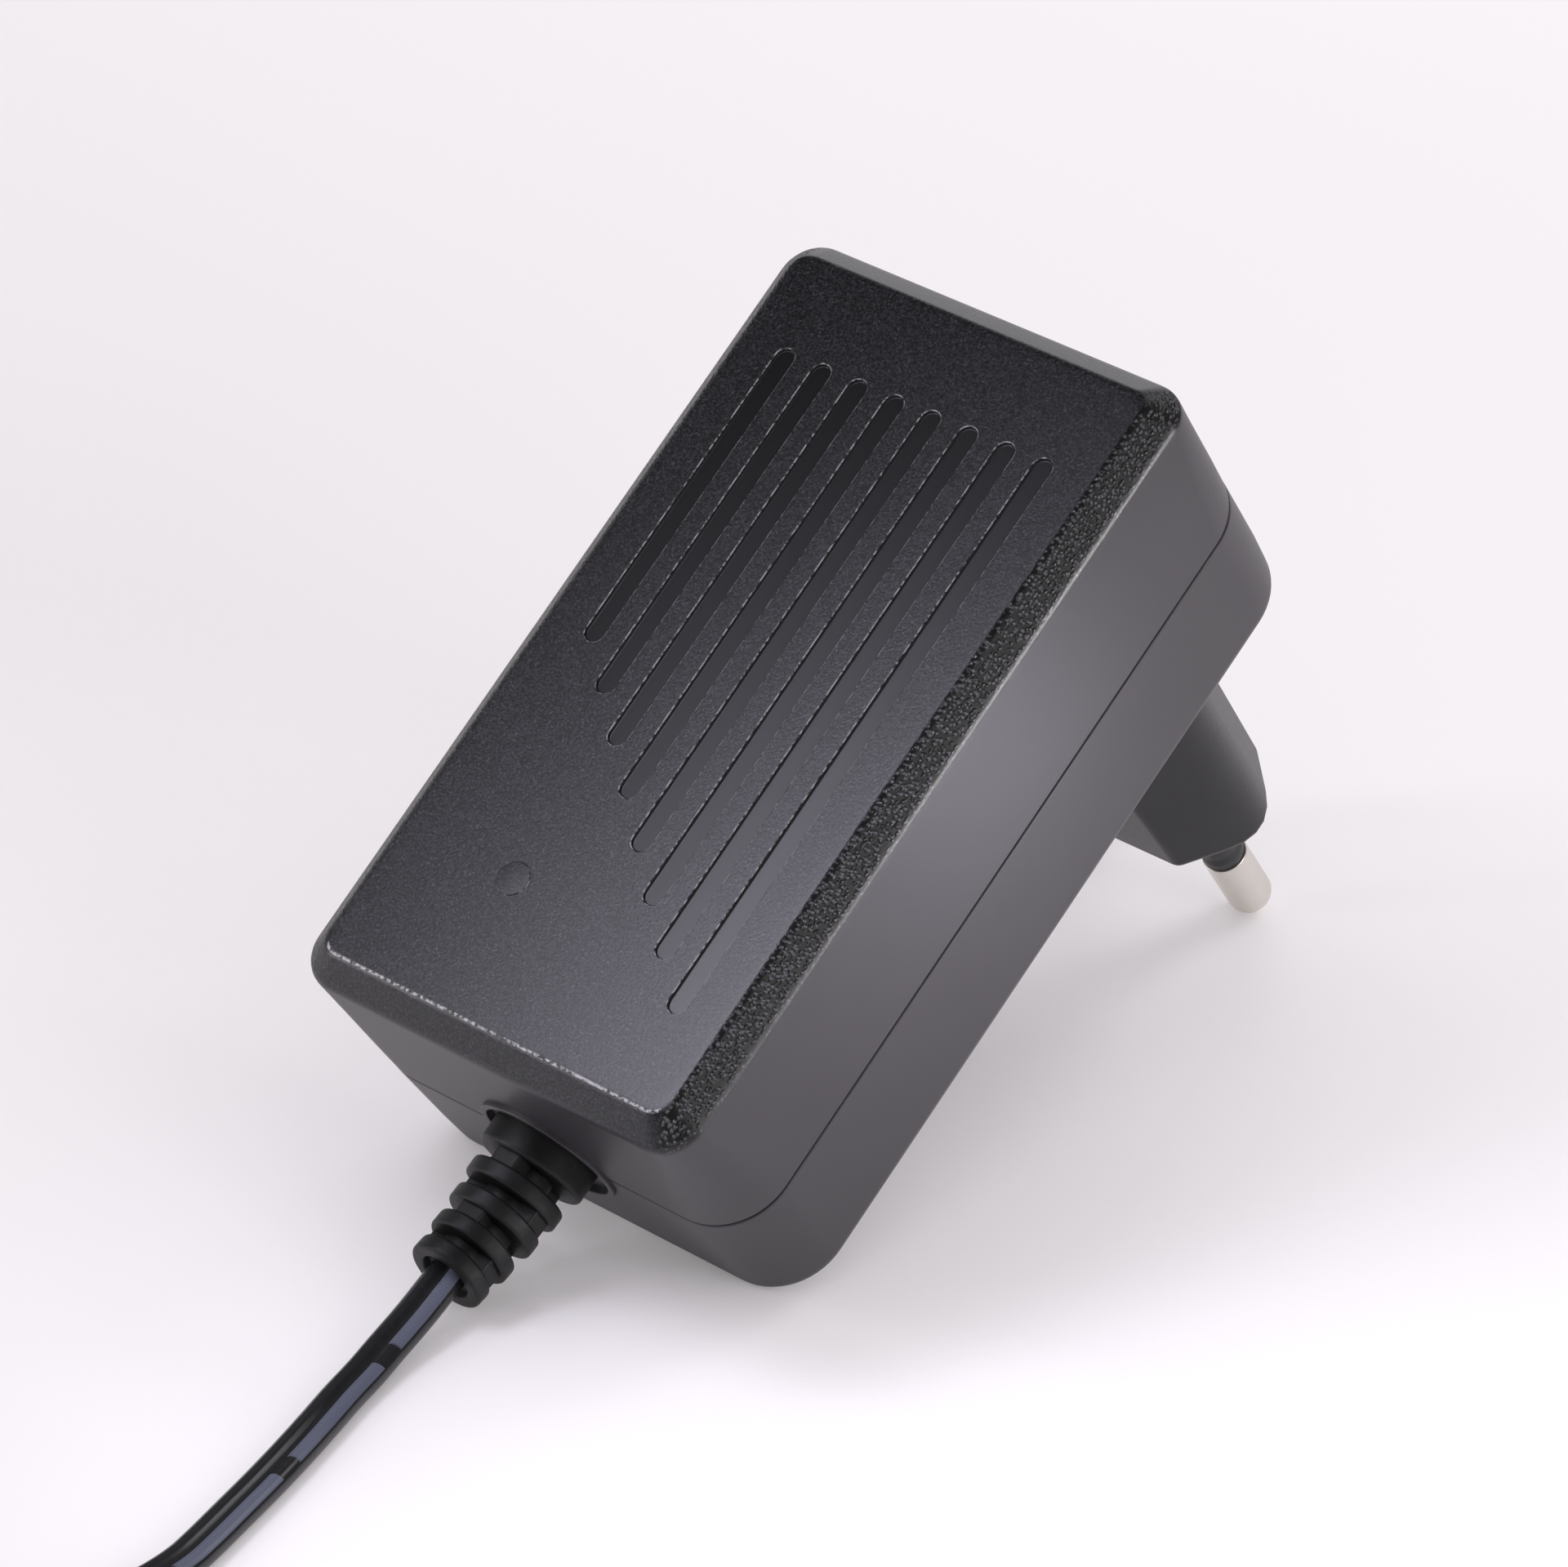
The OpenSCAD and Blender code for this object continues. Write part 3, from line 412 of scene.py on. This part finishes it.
def coilRoute():
    # Round the coil: in on the lower layer, up, out on the upper one and over its top, shifting once in each turn
    low, high = lead["base"] + lead["thick"] / 2, lead["base"] + lead["thick"] * 1.5
    radii = [lead["middle"] + (1.5 - k) * lead["pitch"] for k in range(lead["columns"])]
    levels = [(radii[0] + lead["pitch"], low)] + [(r, low) for r in radii] + [(r, high) for r in radii[::-1]]
    angle = lead["enter"]
    keys = [(angle, *levels[0])]
    for level in levels[1:]:
        keys.append((angle + lead["ease"], *level))
        angle += 360
        keys.append((angle, *level))
    keys[-1] = (angle - 35, *levels[-1])
    keys.append((angle, radii[0], high + lead["thick"] + 0.05))
    points = []
    for (a0, r0, z0), (a1, r1, z1) in zip(keys, keys[1:]):
        count = max(1, round((a1 - a0) / 7.5))
        for k in range(count):
            t = ease(k / count)
            a = math.radians(a0 + (a1 - a0) * k / count)
            r, z = r0 + (r1 - r0) * t, z0 + (z1 - z0) * t
            points.append((lead["at"][0] + r * math.cos(a), lead["at"][1] + r * math.sin(a), z))
    return points


seat = stood(reliefPlace(relief["length"] - 1.1).translation) / mm
start = stood(reliefPlace(relief["length"]).translation) / mm
route = [tuple(seat), tuple(start), (0.5, -51.6, 2.7), (0.9, -54, 2.1), (1.4, -57, 1.5), (2.1, -60.1, 1.1),
         (2.9, -63.5, 0.95), (4.1, -67.6, 0.9), (5.3, -71.8, 0.9), (6.4, -76, 0.9), (7.4, -80.2, 0.9),
         (8.4, -84.5, 0.9), (8.9, -87.5, 0.9), (8.8, -91.5, 0.9), (7.7, -95.6, 0.9), (5.8, -99.2, 0.9),
         (3.2, -102.7, 0.9), (0.4, -106, 0.9), (-2.7, -109.2, 0.9), (-5.7, -112.5, 0.9), (-8.6, -116.2, 0.9),
         (-10.9, -119.9, 1)]
tail = [(-9.9, -127.8, 4.95), (-10.6, -131.8, 4.95), (-10.6, -135.8, 4.95), (-10, -139.8, 4.95), (-8.8, -143.6, 5.38),
        (-7.1, -147.1, 6.32), (-5.2, -149.6, 7.2), (-2.7, -151.4, 8.04), (0.2, -152.6, 8.66), (3.0, -153, 8.9)]


def smooth(points, spacing=1.2):
    # An even run of points on a smooth curve through the given ones
    p = [Vector(q) for q in points]
    dense = []
    for i in range(len(p) - 1):
        a, b, c, d = p[max(i - 1, 0)], p[i], p[i + 1], p[min(i + 2, len(p) - 1)]
        count = max(2, round((c - b).length / spacing))
        for k in range(count):
            t = k / count
            dense.append(0.5 * ((2 * b) + (c - a) * t + (2 * a - 5 * b + 4 * c - d) * t * t
                                + (3 * b - 3 * c + d - a) * t ** 3))
    return dense + [p[-1]]


leadLine = smooth(route + coilRoute() + tail)


def twinSection(width, thick, steps=7):
    # Two round cores side by side, joined by a narrow valley
    r = thick / 2
    off = width / 2 - r
    points = []
    for i in range(steps * 2 + 1):
        a = math.radians(-140 + 280 * i / (steps * 2))
        points.append((off + r * math.cos(a), r * math.sin(a)))
    for i in range(steps * 2 + 1):
        a = math.radians(40 + 280 * i / (steps * 2))
        points.append((-off + r * math.cos(a), r * math.sin(a)))
    return points


def addLead(c, line):
    section = twinSection(c["width"], c["thick"])
    bm = bmesh.new()
    uv = bm.loops.layers.uv.new("along")
    rings, run, length = [], [], 0
    for i, p in enumerate(line):
        ahead = (line[min(i + 1, len(line) - 1)] - line[max(i - 1, 0)]).normalized()
        across = ahead.cross(Vector((0, 0, 1))).normalized()
        up = across.cross(ahead)
        rings.append([bm.verts.new((p + across * x + up * y) * mm) for x, y in section])
        if i:
            length += (p - line[i - 1]).length
        run.append(length * mm)
    count = len(section)
    for j in range(len(rings) - 1):
        for i in range(count):
            k = (i + 1) % count
            face = bm.faces.new((rings[j][i], rings[j][k], rings[j + 1][k], rings[j + 1][i]))
            for loop, (uu, vv) in zip(face.loops, ((i, j), (i + 1, j), (i + 1, j + 1), (i, j + 1))):
                loop[uv].uv = (uu / count, run[vv])
    bm.faces.new(rings[0][::-1])
    bm.faces.new(rings[-1])
    mesh = meshFrom("dcLead", bm, 60)
    return addObject("dcLead", mesh, ("dc_lead", "dc_lead_coil", "dc_lead_tail"), "lead", Matrix()), length


leadObj, leadLength = addLead(lead, leadLine)
print("lead length", round(leadLength, 1))

print("housing")


def eased(z0, i0, z1, i1, z2, i2, r0, r1, r2, steps=4):
    # Rounds the corner at (z1, i1) between two neighbours, for z, inset and corner radius
    out = []
    for k in range(steps + 1):
        t = k / steps
        w = ((1 - t) ** 2, 2 * t * (1 - t), t * t)
        out.append([sum(a * b for a, b in zip(w, v)) for v in ((z0, z1, z2), (i0, i1, i2), (r0, r1, r2))])
    return out


def frontShell(c):
    top, shoulder, base = c["depth"], c["depth"] - c["chamfer"], c["seam"] + c["gap"]
    flat = c["coverDraft"] + c["chamfer"]
    levels = [(base, 1.6, 4.6), (base, 0.12, 5.9), (base + 0.08, 0.03, 6), (base + 0.22, 0, 6),
              (base + 4, 0.095, 5.2), (shoulder - 4, 0.235, 4.2)]
    levels += eased(shoulder - 0.6, 0.32, shoulder, 0.33, shoulder + 0.45, 0.78, 3.5, 3.4, 3.1)
    levels += [(shoulder + 1.1, 1.43, 2.6)]
    levels += eased(top - 0.3, flat - 0.3, top, flat, top, flat + 0.42, 2.0, 1.8, 1.6)
    levels += [(top, flat + 1.2, 1.4)]
    bm = bmesh.new()
    skin(bm, [caseRing(*level) for level in levels])
    return bm


def capsule(x, y0, y1, width, z0, z1, flare=0.0, steps=10):
    r = width / 2
    rings = []
    for z, grow in ((z0, 0), (z1, flare)):
        ring = []
        for cy, start in ((y1 - r, 0), (y0 + r, 180)):
            for i in range(steps + 1):
                a = math.radians(start + 180 * i / steps)
                ring.append((x + (r + grow) * math.cos(a), cy + (r + grow) * math.sin(a), z))
        rings.append(ring)
    return rings


grooves = {"count": 8, "pitch": 3.85, "width": 1.9, "depth": 0.35, "top": 10.7, "low": 10.5, "step": 3.49}
disc = {"x": -6.2, "y": 14.5, "size": 3, "height": 0.15}
exitSeat = {"lip": 6.4, "width": 0.6, "height": 0.3, "recess": 0.6}


def cutterObject(name, bm):
    bmesh.ops.recalc_face_normals(bm, faces=bm.faces)
    mesh = bpy.data.meshes.new(name)
    bm.to_mesh(mesh)
    bm.free()
    obj = bpy.data.objects.new(name, mesh)
    bpy.context.scene.collection.objects.link(obj)
    return obj


def withModifiers(name, bm, cutters, bevel=0.0, joined=()):
    # Cuts and bevels a working object, and returns the finished mesh
    work = cutterObject(name + "Work", bm)
    for other, operation in [(c, "DIFFERENCE") for c in cutters] + [(j, "UNION") for j in joined]:
        cut = work.modifiers.new("cut", "BOOLEAN")
        cut.operation, cut.solver, cut.object = operation, "EXACT", other
    if bevel:
        soft = work.modifiers.new("soft", "BEVEL")
        soft.width, soft.segments, soft.limit_method, soft.angle_limit = bevel * mm, 2, "ANGLE", math.radians(50)
    graph = bpy.context.evaluated_depsgraph_get()
    mesh = bpy.data.meshes.new_from_object(work.evaluated_get(graph))
    for obj in (work, *cutters, *joined):
        bpy.data.objects.remove(obj)
    return finished(mesh, name, 28)


def seatCutter(deep):
    bm = bmesh.new()
    move = Matrix.Translation((0, 0, housing["seam"])) @ Matrix.Rotation(math.pi / 2, 4, "X")
    r = exitSeat["lip"] - exitSeat["width"]
    lathe(bm, [(r, -deep), (r, 2)], move, 72)
    return cutterObject("seatCutter", bm)


grooveBm = bmesh.new()
for i in range(grooves["count"]):
    x = (i - (grooves["count"] - 1) / 2) * grooves["pitch"]
    y0 = grooves["low"] + (grooves["count"] - 1 - i) * grooves["step"]
    y1 = housing["length"] - grooves["top"]
    skin(grooveBm, capsule(x, y0, y1, grooves["width"] - 0.12, housing["depth"] - grooves["depth"], housing["depth"] + 0.5,
                           0.15))
frontMesh = withModifiers("frontShell", frontShell(housing), [cutterObject("grooveCutter", grooveBm), seatCutter(0.6)], 0.11)


def blankDisc(c):
    r, h = c["size"] / 2, c["height"]
    bm = bmesh.new()
    lathe(bm, turned((r + 0.12, -0.3, 0), (r + 0.12, 0.015, 0.03), (r, 0.02, 0.02), (r - 0.04, h, 0.08), (0.1, h, 0)),
          Matrix.Translation((-abs(c["x"]), c["y"], housing["depth"])), 64)
    return meshFrom("blankDisc", bm, 60)


discObj = addObject("blankDisc", blankDisc(disc), (), "front")
frontObj = addObject("frontShell", frontMesh, ("front_cover",), "front")


def rearShell(c):
    r, d = c["rearRound"], c["rearDraft"]
    levels = [(0, r + d + 1.2, 3.2)]
    for i in range(9):
        a = math.radians(90 * i / 8)
        levels.append((r * (1 - math.cos(a)), d + r * (1 - math.sin(a)), c["seamCorner"] - r * (1 - math.sin(a))))
    top = c["seam"]
    levels += [(5, 0.2, 5.8), (top - 0.22, 0, 6), (top - 0.08, 0.03, 6), (top, 0.12, 5.9), (top, 1.04, 5.0),
               (top + 1.2, 1.04, 5.0)]
    bm = bmesh.new()
    skin(bm, [caseRing(*level) for level in levels])
    return bm


rearMesh = withModifiers("rearShell", rearShell(housing), [seatCutter(0.6)], 0.05)
rearObj = addObject("rearShell", rearMesh, (), "rear")


def rounded(corners, steps=5):
    # A closed outline with rounded corners: each corner is (x, y, radius)
    out = []
    count = len(corners)
    for i, (x, y, radius) in enumerate(corners):
        here = Vector((x, y))
        before = Vector(corners[i - 1][:2]) - here
        after = Vector(corners[(i + 1) % count][:2]) - here
        half = before.angle(after) / 2
        reach = min(radius / math.tan(half), 0.49 * min(before.length, after.length))
        start, end = here + before.normalized() * reach, here + after.normalized() * reach
        for k in range(steps + 1):
            t = k / steps
            out.append(tuple((1 - t) ** 2 * start + 2 * t * (1 - t) * here + t ** 2 * end))
    return out


def bossRing(z, inset):
    # A hexagon with 45 degree ends, rounded at its tips
    side = plug["width"] / 2 - inset
    flat = plug["flat"] / 2 - inset * (math.sqrt(2) - 1)
    tip = flat + side
    outline = rounded([(tip, 0, plug["tip"] - inset), (flat, side, 1.2), (-flat, side, 1.2),
                       (-tip, 0, plug["tip"] - inset), (-flat, -side, 1.2), (flat, -side, 1.2)])
    return [(x, plug["y"] + y, z) for x, y in outline]


def plugBoss(c):
    levels = [(1, 0), (-4, 0.1), (-12, 0.32)]
    low = -c["boss"]
    for i in range(7):
        a = math.radians(90 * i / 6)
        levels.append((low + 1.0 - 1.0 * math.sin(a), c["draft"] + 1.0 * (1 - math.cos(a))))
    bm = bmesh.new()
    skin(bm, [bossRing(*level) for level in levels])
    return meshFrom("plugBoss", bm, 40)


bossObj = addObject("plugBoss", plugBoss(plug), ("rear_case",), "boss")

print("pins")


def pinPlace(side):
    tilt = math.atan((plug["pitch"] - plug["tipPitch"]) / 2 / plug["pin"])
    return Matrix.Translation((side * plug["pitch"] / 2, plug["y"], -plug["boss"])) @ Matrix.Rotation(side * tilt, 4, "Y")


for side, word in ((-1, "left"), (1, "right")):
    place = pinPlace(side)
    r, s = plug["pinD"] / 2, plug["sleeveD"] / 2
    bm = bmesh.new()
    profile = [(1.4, 0.5), (1.4, -plug["sleeve"] - 0.02)] + turned((1.4, -plug["sleeve"], 0), (r, -plug["sleeve"], 0.15),
                                                                  (r, -14, 0))[1:]
    end = -plug["pin"]
    profile += [(r * math.cos(a), end + r - r * math.sin(a)) for a in (math.radians(90 * i / 12) for i in range(12))]
    lathe(bm, profile, place)
    addObject("pin_" + word + "_bare", meshFrom("pin", bm, 40), ("pin_" + word,), "pin")
    bm = bmesh.new()
    lathe(bm, turned((s, 0.4, 0), (s, -1.0, 0), (s - 0.04, -plug["sleeve"] + 1.6, 1), (s + 0.12, -plug["sleeve"] + 0.9, 0.4),
                     (s + 0.12, -plug["sleeve"], 0.3), (1.42, -plug["sleeve"], 0)), place)
    addObject("sleeve_" + word + "_skin", meshFrom("sleeve", bm, 40), ("sleeve_" + word,), "sleeve")

print("strain relief")


def softBox(bm, x, y, z0, z1, move, r=0.22):
    outline = rounded([(x, y, r), (-x, y, r), (-x, -y, r), (x, -y, r)], 3)
    skin(bm, [[(px, py, z) for px, py in outline] for z in (z0, z1)], move)


def strainRelief(c):
    bm = bmesh.new()
    radii = [(c["first"] + (c["last"] - c["first"]) * i / (c["rings"] - 1)) / 2 for i in range(c["rings"])]
    segment = (c["length"] - c["collar"]) / c["rings"]
    r = c["collarD"] / 2
    lathe(bm, turned((0.1, -1.5, 0), (r, -1.5, 0), (r, c["collar"] - 0.1, 0.45), (0.1, c["collar"] - 0.1, 0)),
          reliefPlace(0), 64)
    for i, ring in enumerate(radii):
        place = reliefPlace(c["collar"] + (i + 1) * segment - c["ring"] / 2)
        half = c["ring"] / 2
        if i < c["rings"] - 1:
            lathe(bm, turned((0.1, -half, 0), (ring, -half, 0.28), (ring, half, 0.34), (0.1, half, 0)), place, 64)
        else:
            lathe(bm, turned((2.2, -half, 0), (ring, -half, 0.28), (ring, half, 0.34), (2.3, half, 0.2),
                             (2.1, half - 0.6, 0)), place, 64)
        middle = reliefPlace(c["collar"] + (i + 0.5) * segment)
        lathe(bm, [(c["core"] / 2, -segment / 2 - 0.2), (c["core"] / 2, segment / 2 - 0.7)], middle, 40)
        turn = Matrix.Rotation(math.pi / 2 if i % 2 == 0 else 0, 4, "Z")
        gap = segment - c["ring"]
        softBox(bm, ring - 0.3, c["bridge"] / 2, -c["ring"] / 2 - gap / 2 - 0.3, -c["ring"] / 2 + gap / 2 + 0.4, middle @ turn)
    return meshFrom("strainRelief", bm, 40)


reliefObj = addObject("strainRelief", strainRelief(relief), ("strain_relief",), "relief")


def exitLip(c):
    bm = bmesh.new()
    move = Matrix.Translation((0, 0, housing["seam"])) @ Matrix.Rotation(math.pi / 2, 4, "X")
    out, inner = c["lip"], c["lip"] - c["width"]
    lathe(bm, turned((out, -0.4, 0), (out, c["height"], 0.12), (inner, c["height"], 0.12), (inner, -c["recess"], 0.1),
                     (4.2, -c["recess"], 0), (4.2, -1.2, 0)), move, 96)
    return meshFrom("exitLip", bm, 40)


lipObj = addObject("exitLip", exitLip(exitSeat), (), "rear")

print("barrel plug")
grip = {"at": (3.2, -153, 8.9), "length": 24, "size": 9.6, "tail": 5.4, "ribs": 5}
along = Matrix.Translation(Vector(grip["at"])) @ Matrix.Rotation(math.pi / 2, 4, "Y")


def plugGrip(c):
    r, t, n = c["size"] / 2, c["tail"] / 2, c["length"]
    corners = [(0.1, 0, 0), (t, 0, 0.3)]
    for i in range(c["ribs"]):
        z = 0.9 + i * 1.5
        rr = t + 0.12 * i
        corners += [(rr, z, 0.1), (rr - 0.5, z + 0.1, 0.1), (rr - 0.5, z + 0.6, 0.1), (rr + 0.05, z + 0.7, 0.1)]
    corners += [(t + 0.5, 9, 1), (r - 0.3, 13.5, 2), (r, 15.5, 1), (r, n, 0.5), (2.77, n, 0.1), (2.77, n - 1, 0)]
    bm = bmesh.new()
    lathe(bm, turned(*corners), along)
    return meshFrom("plugGrip", bm, 40)


gripObj = addObject("plugGrip", plugGrip(grip), ("plug_grip",), "relief", Matrix())


def barrel():
    n = grip["length"]
    bm = bmesh.new()
    lathe(bm, turned((2.74, n - 2, 0), (2.75, n + 9.5, 0.12), (2.4, n + 9.5, 0.1), (2.4, n + 1, 0)), along)
    return meshFrom("barrel", bm, 40)


barrelObj = addObject("barrel", barrel(), ("barrel_contact",), "pin", Matrix())

print("tie")
tie = {"width": 5, "thick": 0.4, "turn": 40, "slack": 0.6}


def leadTie(c):
    span = lead["columns"] * lead["pitch"] / 2 + c["thick"] + c["slack"]
    high = lead["layers"] * lead["thick"] + 2 * c["thick"]
    outer = rounded([(span, high, 1.2), (-span, high, 1.2), (-span, 0, 1.2), (span, 0, 1.2)], 6)
    t = c["thick"]
    inner = rounded([(span - t, high - t, 0.8), (-span + t, high - t, 0.8), (-span + t, t, 0.8), (span - t, t, 0.8)], 6)
    move = (Matrix.Translation((lead["at"][0], lead["at"][1], 0)) @ Matrix.Rotation(math.radians(c["turn"]), 4, "Z")
            @ Matrix.Translation((lead["middle"], 0, 0)))
    bm = bmesh.new()
    h = c["width"] / 2
    bands = [[(x, y, z) for x, z in ring] for ring, y in ((outer, -h), (outer, h), (inner, h), (inner, -h))]
    made = skin(bm, bands, move, (False, False))
    for i in range(len(outer)):
        k = (i + 1) % len(outer)
        bm.faces.new((made[3][i], made[3][k], made[0][k], made[0][i]))
    return meshFrom("leadTie", bm, 40)


tieObj = addObject("leadTie", leadTie(tie), ("lead_tie",), "tie", Matrix())

[tuple(p * mm) for p in leadLine]

print("inner parts")
innerLooks = {
    "board": ((0.10, 0.26, 0.12), 0.3), "ferrite": ((0.06, 0.06, 0.065), 0.6), "bobbin": ((0.05, 0.05, 0.055), 0.45),
    "tape": ((0.75, 0.56, 0.1), 0.3), "can_sleeve": ((0.045, 0.045, 0.075), 0.3), "copper": ((0.5, 0.22, 0.1), 0.35),
    "fuse_body": ((0.26, 0.12, 0.06), 0.35), "chip_body": ((0.035, 0.035, 0.035), 0.5),
    "white_body": ((0.75, 0.75, 0.7), 0.4), "blue_coat": ((0.07, 0.22, 0.55), 0.35),
    "heat_sink": ((0.68, 0.69, 0.7), 0.35), "card": ((0.78, 0.76, 0.66), 0.7), "blue_wire": ((0.07, 0.19, 0.5), 0.35),
    "brown_wire": ((0.26, 0.13, 0.06), 0.35), "red_wire": ((0.55, 0.05, 0.04), 0.35),
    "black_wire": ((0.02, 0.02, 0.02), 0.35)}
innerMats = {slot: material("inner_" + slot, plainPart(*look), Metallic=1.0 if slot in ("heat_sink", "copper") else 0.0)
             for slot, look in innerLooks.items()}
innerMats.update({"insulator": mats["insulator"], "pin_metal": mats["pin"]})
for entry in frame["record"]["subparts"]:
    obj, slot = nodes[entry["node"]], entry["material_slot"]
    if slot in innerMats and not obj.hide_render:
        obj.data.materials.clear()
        obj.data.materials.append(innerMats[slot])

print("floor and light")
studio = {"floor": (0.75, 0.73, 0.743), "back": (0.905, 0.875, 0.89), "glow": 0.165, "diffuse": 0.75, "glossy": 0.06,
          "tint": (1, 0.975, 1)}
cool = (0.97, 0.94, 1.1)
lamps = {
    "frontLow": {"toward": (-0.556, -0.2745, 0.785), "from": (0.046, -0.06, 0.018), "reach": 0.17, "size": 0.06,
                 "power": 0.0135, "spread": 60, "colour": cool},
    "frontMid": {"toward": (-0.556, -0.2745, 0.785), "from": (0.056, -0.032, 0.04), "reach": 0.17, "size": 0.06,
                 "power": 0.0098, "spread": 60, "colour": cool},
    "frontLeft": {"toward": (-0.6, -0.78, 0.1), "reach": 0.4, "size": 0.07, "power": 0.011, "spread": 30},
    "edgeLeft": {"toward": (-0.57, -0.67, 0.47), "reach": 0.45, "size": 0.06, "power": 0.008, "spread": 30},
    "left": {"toward": (-1, 0.05, 0.25), "reach": 0.5, "size": 0.2, "power": 0.12},
    "backLeft": {"toward": (-0.556, 0.785, 0.274), "reach": 0.6, "size": 0.3, "power": 0.45},
    "backUp": {"toward": (0.15, 0.8, 0.6), "reach": 0.7, "size": 0.3, "power": 0.9},
    "right": {"toward": (0.9, -0.1, 0.35), "reach": 0.6, "size": 0.3, "power": 0.8},
    "rightLow": {"toward": (0.92, 0.32, 0.03), "reach": 0.45, "size": 0.06, "power": 0.012, "spread": 16},
    "sideGlow": {"toward": (0.65, 0.71, -0.27), "from": (0.021, -0.02, 0.035), "reach": 0.091, "size": 0.02,
                 "power": 0.0011, "spread": 40, "colour": cool},
}


def glow(p):
    # A little light of the floor's own, for the camera and for reflections alone
    rays = p.node("ShaderNodeLightPath").out.node.outputs
    seen = p.math("MAXIMUM", Sock(p.tree, rays["Is Camera Ray"]), Sock(p.tree, rays["Is Glossy Ray"]))
    return p.mix(seen, (0, 0, 0), studio["back"])


def addFloor():
    bm = bmesh.new()
    bmesh.ops.create_grid(bm, x_segments=1, y_segments=1, size=6)
    mesh = bpy.data.meshes.new("floor")
    bm.to_mesh(mesh)
    bm.free()
    obj = bpy.data.objects.new("floor", mesh)
    bpy.context.scene.collection.objects.link(obj)
    mesh.materials.append(material("floorPaper", lambda p: {
        "Base Color": studio["floor"], "Roughness": p.noise(30) * 0.1 + 0.7,
        "Emission Color": glow(p), "Emission Strength": studio["glow"]}))


def addLamp(name, c):
    data = bpy.data.lights.new(name, "AREA")
    data.shape, data.size, data.energy = "SQUARE", c["size"], c["power"]
    data.color = c.get("colour", studio["tint"])
    data.spread = math.radians(c.get("spread", 180))
    obj = bpy.data.objects.new(name, data)
    bpy.context.scene.collection.objects.link(obj)
    back = Vector(c["toward"]).normalized()
    place = Vector(c.get("from", (0, 0, 0.03))) + back * c["reach"]
    obj.matrix_world = Matrix.Translation(place) @ back.to_track_quat("Z", "Y").to_matrix().to_4x4()


def addWorld(c):
    # White behind the object, soft light all round, and a dimmer room in reflections
    world = bpy.data.worlds.new("world")
    bpy.context.scene.world = world
    world.use_nodes = True
    tree = world.node_tree
    seen = tree.nodes["Background"]
    tree.nodes.remove(seen)
    start = Sock(tree)

    def light(colour, strength):
        return start.node("ShaderNodeBackground", {}, {"Color": (*colour, 1), "Strength": strength})
    rays = start.node("ShaderNodeLightPath").out.node.outputs
    soft = start.node("ShaderNodeMixShader", {}, {0: Sock(tree, rays["Is Glossy Ray"]), 1: light(c["tint"], c["diffuse"]),
                                                  2: light(c["tint"], c["glossy"])})
    whole = start.node("ShaderNodeMixShader", {}, {0: Sock(tree, rays["Is Camera Ray"]), 1: soft,
                                                   2: light(c["back"], 1)})
    tree.links.new(whole.out, tree.nodes["World Output"].inputs["Surface"])


addFloor()
for name, lamp in lamps.items():
    addLamp(name, lamp)
addWorld(studio)
bpy.context.scene.view_settings.view_transform = "Standard"
